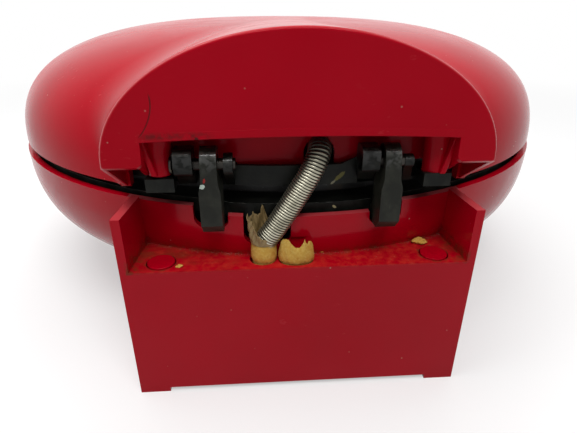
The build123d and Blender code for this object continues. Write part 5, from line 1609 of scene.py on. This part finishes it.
@dataclass
class Studio:
    """Pale floor, white surroundings, soft lamps and the camera."""

    floor_side: float = 12.0
    floor_tone: Point = (0.90, 0.90, 0.90)
    floor_bounce: Point = (0.42, 0.42, 0.42)
    glow_near: float = 0.45
    fade: tuple[float, float] = (0.30, 0.85)
    world_light: float = 0.18
    camera_place: Point = (-0.0138, -0.2960, 0.1404)
    yaw: float = 3.918
    pitch: float = 25.656
    roll: float = 0.104
    lens: float = 28.06
    sensor: float = 36.0
    nearest: float = 0.005
    lamps: tuple[Lamp, ...] = (
        Lamp("lamp_top", (-0.1, 0.15, 1.15), (0.0, 0.0, 0.05), (1.2, 0.8), 11.0),
        Lamp("lamp_left", (-1.0, -0.35, 0.95), (0.0, 0.0, 0.08), (0.6, 0.6), 3.0),
        Lamp("lamp_behind_camera", (0.12, -0.85, 1.40), (0.0, -0.15, 0.08), (0.9, 0.5), 12.2),
    )

    @staticmethod
    def _seen(board: Board) -> Value:
        """Is 1 for rays from the camera, from gloss and through glass."""
        path = board.node("ShaderNodeLightPath", {}, {})
        camera, glossy, clear = (Value(board, path.outputs[name]) for name in
                                 ("Is Camera Ray", "Is Glossy Ray", "Is Transmission Ray"))
        return camera.most(glossy).most(clear)

    def floor(self) -> None:
        """Lays the floor, which fades to white away from the piece."""
        Mesher.clear()
        bpy.ops.mesh.primitive_plane_add(size=self.floor_side, location=(0, 0, 0))
        floor = Mesher.settle(Mesher.name("floor"))
        board = Board("floor")
        x, y, _ = board.axes()
        away = ((x * x + y * y) ** 0.5).above(self.fade[0] / MM, self.fade[1] / MM)
        seen = self._seen(board)
        share = seen * (self.glow_near + (1 - self.glow_near) * away)
        matt = board.node("ShaderNodeBsdfDiffuse", {},
                          {"Color": board.blend(self.floor_bounce, self.floor_tone, seen)})
        white = board.node("ShaderNodeEmission", {}, {"Color": (1, 1, 1), "Strength": 1.0})
        mixed = board.node("ShaderNodeMixShader", {}, {0: share, 1: matt.outputs[0], 2: white.outputs[0]})
        board.tree.links.new(mixed.outputs[0], board.output.inputs[0])
        floor.data.materials.append(board.material)

    def surroundings(self) -> None:
        """Makes the world white where it is seen and plain light elsewhere."""
        sky = Sky("surroundings")
        light = sky.node("ShaderNodeBackground", {}, {"Color": (1, 1, 1), "Strength": self.world_light})
        white = sky.node("ShaderNodeBackground", {}, {"Color": (1, 1, 1), "Strength": 1.0})
        mixed = sky.node("ShaderNodeMixShader", {}, {0: self._seen(sky), 1: light.outputs[0],
                                                     2: white.outputs[0]})
        sky.tree.links.new(mixed.outputs[0], sky.output.inputs[0])

    def camera(self) -> None:
        """Places the camera at the view of the piece from behind and above."""
        yaw, pitch, roll = (math.radians(v) for v in (self.yaw, self.pitch, self.roll))
        ahead = Vector((math.sin(yaw) * math.cos(pitch), math.cos(yaw) * math.cos(pitch), -math.sin(pitch)))
        right = Vector((math.cos(yaw), -math.sin(yaw), 0))
        up = right.cross(ahead)
        side = right * math.cos(roll) + up * math.sin(roll)
        top = up * math.cos(roll) - right * math.sin(roll)
        Mesher.clear()
        bpy.ops.object.camera_add(location=self.camera_place)
        camera = bpy.context.active_object
        camera.name = "camera"
        turn = Matrix((side, top, -ahead)).transposed().to_4x4()
        camera.matrix_world = Matrix.Translation(self.camera_place) @ turn
        camera.data.sensor_fit = "HORIZONTAL"
        camera.data.sensor_width = self.sensor
        camera.data.lens = self.lens
        camera.data.clip_start = self.nearest
        bpy.context.scene.camera = camera

    def build(self) -> None:
        """Sets up everything that isn't part of the cooker."""
        bpy.context.scene.view_settings.view_transform = "Standard"
        self.floor()
        self.surroundings()
        for lamp in self.lamps:
            lamp.hang()
        self.camera()
        log.info("studio: %d lamps", len(self.lamps))


@dataclass
class Fitting:
    """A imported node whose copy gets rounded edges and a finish."""

    node: str
    body: Body
    edge: float = 0.3
    steps: int = 2
    angle: float = 35.0
    look: Finish | None = None
    join_flats: bool = True

    def shape(self, points: np.ndarray) -> np.ndarray:
        """Moves the copy's points, in millimetres from the bowl's axis, before its edges are rounded."""
        return points

    def build(self, shop: Shop, slot: str) -> bpy.types.Object:
        """Copies the node, shapes it, rounds its edges and dresses it."""
        piece = Mesher.copy_node(self.node, self.node + "_finished", self.join_flats)
        Mesher.nudge(piece, self.shape)
        Mesher.apply(piece, "BEVEL", width=self.edge * MM, segments=self.steps, limit_method="ANGLE",
                     angle_limit=math.radians(self.angle), miter_outer="MITER_ARC", use_clamp_overlap=True)
        Mesher.smooth(piece, 40)
        return shop.dress(piece, self.body, slot, self.node, self.look.material() if self.look else None)


@dataclass
class HingeArm(Fitting):
    """Arm that stands nearer the middle than its node, with a taller, narrower head."""

    centre_x: float = 31.5
    inward: float = 1.3
    head_z: float = 9.0
    head_scale: float = 0.9
    head_run: float = 5.0
    head_lift: float = 1.1
    pivot_z: float = 16.8
    pivot_run: float = 4.0

    def shape(self, points: np.ndarray) -> np.ndarray:
        """Shifts the arm and draws its head out."""
        side = np.sign(points[:, 0].mean())
        across = points[:, 0] - side * self.centre_x
        head = np.clip((points[:, 2] - self.head_z) / self.head_run, 0, 1)
        points[:, 0] = side * (self.centre_x - self.inward) + across * (1 - (1 - self.head_scale) * head)
        points[:, 2] += self.head_lift * np.clip((points[:, 2] - self.pivot_z) / self.pivot_run, 0, 1)
        return points


@dataclass
class HingePin(Fitting):
    """Pin, whose right-hand one ends nearer the arm."""

    right_end: float = 30.0
    shorter: float = 3.2

    def shape(self, points: np.ndarray) -> np.ndarray:
        """Draws in the far end of the right pin."""
        points[:, 0] -= self.shorter * (points[:, 0] > self.right_end)
        return points


@dataclass
class LidFrame(Fitting):
    """Lid frame: its knuckles, lugs and pads sit a little higher and closer than on its node."""

    rear_y: float = -133.0
    pivot: tuple[float, float] = (-139.3, 16.8)
    knuckles: tuple[tuple[float, float, float], ...] = ((-42.3, -35.9, 0.7), (20.7, 27.1, -0.9))
    knuckle_z: float = 10.9
    floor_z: float = 14.2
    floor_lift: float = 2.3
    knuckle_set_in: float = 1.5
    small_lug: tuple[float, float] = (37.3, 40.7)
    small_lug_shift: float = -2.6
    small_lug_scale: float = 0.62
    pads: tuple[float, float] = (43.4, 53.0)
    pad_y: float = -128.0
    pad_reach: float = 136.5
    pad_low: float = 5.5
    pad_high: float = 10.4
    pad_lift: float = 2.6
    pad_shift: float = 1.7
    under_y: float = -136.0
    under_z: float = 8.0
    under_half_w: float = 43.0
    under_set_in: float = 5.0

    def shape(self, points: np.ndarray) -> np.ndarray:
        """Moves the knuckles, the right lug and the pads."""
        x, y, z = points.T.copy()
        rear = y < self.rear_y
        pivot_y, pivot_z = self.pivot
        for low, high, shift in self.knuckles:
            mine = rear & (x > low) & (x < high) & (z > self.knuckle_z)
            points[mine, 0] += shift
            points[mine & (z < self.floor_z), 2] += self.floor_lift
            points[mine & (y < pivot_y), 1] += self.knuckle_set_in
        lug = rear & (x > self.small_lug[0]) & (x < self.small_lug[1]) & (z > self.knuckle_z)
        points[lug, 0] += self.small_lug_shift
        points[lug, 1] = pivot_y + (y[lug] - pivot_y) * self.small_lug_scale
        points[lug, 2] = pivot_z + (z[lug] - pivot_z) * self.small_lug_scale
        pad = (y < self.pad_y) & (np.abs(x) > self.pads[0]) & (np.abs(x) < self.pads[1])
        pad &= (z > self.pad_low) & (z < self.pad_high) & (np.hypot(x, y) > self.pad_reach)
        points[pad, 0] -= np.sign(x[pad]) * self.pad_shift
        points[pad, 2] += self.pad_lift
        under = (y < self.under_y) & (z < self.under_z) & (np.abs(x) < self.under_half_w)
        points[under, 1] += self.under_set_in
        return points


@dataclass
class FrameScrews(Fitting):
    """Screws of the lid frame, of which the rear pair follows the pads."""

    rear_y: float = -130.0
    lift: float = 3.3
    inward: float = 1.7

    def shape(self, points: np.ndarray) -> np.ndarray:
        """Moves the rear pair with the pads."""
        rear = points[:, 1] < self.rear_y
        points[rear, 0] -= np.sign(points[rear, 0]) * self.inward
        points[rear, 2] += self.lift
        return points


@dataclass
class BaseFrame(Fitting):
    """Base frame, whose face between the arms sits a little lower than on its node."""

    reach: float = 26.0
    reach_fade: float = 6.0
    rear_y: float = -122.0
    rear_fade: float = 8.0
    drop: float = 1.1

    def shape(self, points: np.ndarray) -> np.ndarray:
        """Lowers the rear of the face."""
        back = np.clip((self.rear_y - points[:, 1]) / self.rear_fade, 0, 1)
        middle = np.clip((self.reach + self.reach_fade - abs(points[:, 0])) / self.reach_fade, 0, 1)
        points[:, 2] -= self.drop * (back * middle)
        return points


class Cooker:
    """The whole cooker: its slots as the record gives them, and its pieces."""

    fittings: tuple[Fitting, ...] = (
        Fitting("base_shell", Body.BASE, 0.45, 3, look=TrayPlastic("base_plastic")),
        BaseFrame("base_frame", Body.BASE, 0.45, 3, look=SCRAPED_BASE_FRAME, join_flats=False),
        LidFrame("lid_frame", Body.LID, 0.45, 3, look=SCRAPED_LID_FRAME, join_flats=False),
        FrameScrews("lid_frame_screws", Body.LID, 0.1, 2, look=DARK_STEEL),
        HingeArm("hinge_arm_left", Body.BASE, 0.8, 4, look=CHIPPED_ARM),
        HingeArm("hinge_arm_right", Body.BASE, 0.8, 4),
        HingePin("hinge_pin_left", Body.LID, 0.25, 2, look=DARK_STEEL),
        HingePin("hinge_pin_right", Body.LID, 0.25, 2, look=DARK_STEEL),
        Fitting("lower_plate", Body.BASE, 0.6, 3),
        Fitting("upper_plate", Body.LID, 0.6, 3),
        Fitting("base_handle", Body.BASE, 0.5, 3),
        Fitting("lid_handle", Body.LID, 0.5, 3),
        Fitting("latch_clip", Body.CLIP, 0.25, 2),
        Fitting("stand_cover", Body.BASE, 0.3, 2),
        Fitting("front_foot_left", Body.BASE, 0.6, 3),
        Fitting("front_foot_right", Body.BASE, 0.6, 3),
        Fitting("shelf_plugs", Body.BASE, 0.35, 3),
        Fitting("clip_pin", Body.BASE, 0.2, 2),
    )

    def __init__(self, record: dict) -> None:
        """Reads the slot of each node."""
        self.shop = Shop()
        self.slots = {part["node"]: part["material_slot"] for part in record["subparts"]}

    def dress_nodes(self, names: Iterable[str]) -> None:
        """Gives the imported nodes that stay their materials."""
        for name in names:
            node = bpy.data.objects[name]
            if not node.material_slots:
                node.data.materials.append(None)
            for slot in node.material_slots:
                slot.material = self.shop.finish(self.slots[name])

    def build(self) -> None:
        """Builds all pieces in order."""
        for fitting in self.fittings:
            fitting.build(self.shop, self.slots[fitting.node])
        Conduit().build(self.shop)
        lid = LidShell().build()
        self.shop.dress(lid, Body.LID, "red_plastic", "lid_shell", HoodPlastic("lid_plastic").material())
        self.dress_nodes(self.slots)


def main() -> None:
    """Loads the frame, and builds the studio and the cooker."""
    logging.basicConfig(level=logging.INFO, format="%(name)s: %(message)s")
    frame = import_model()
    Studio().build()
    Cooker(frame["record"]).build()


if __name__ == "__main__":
    main()
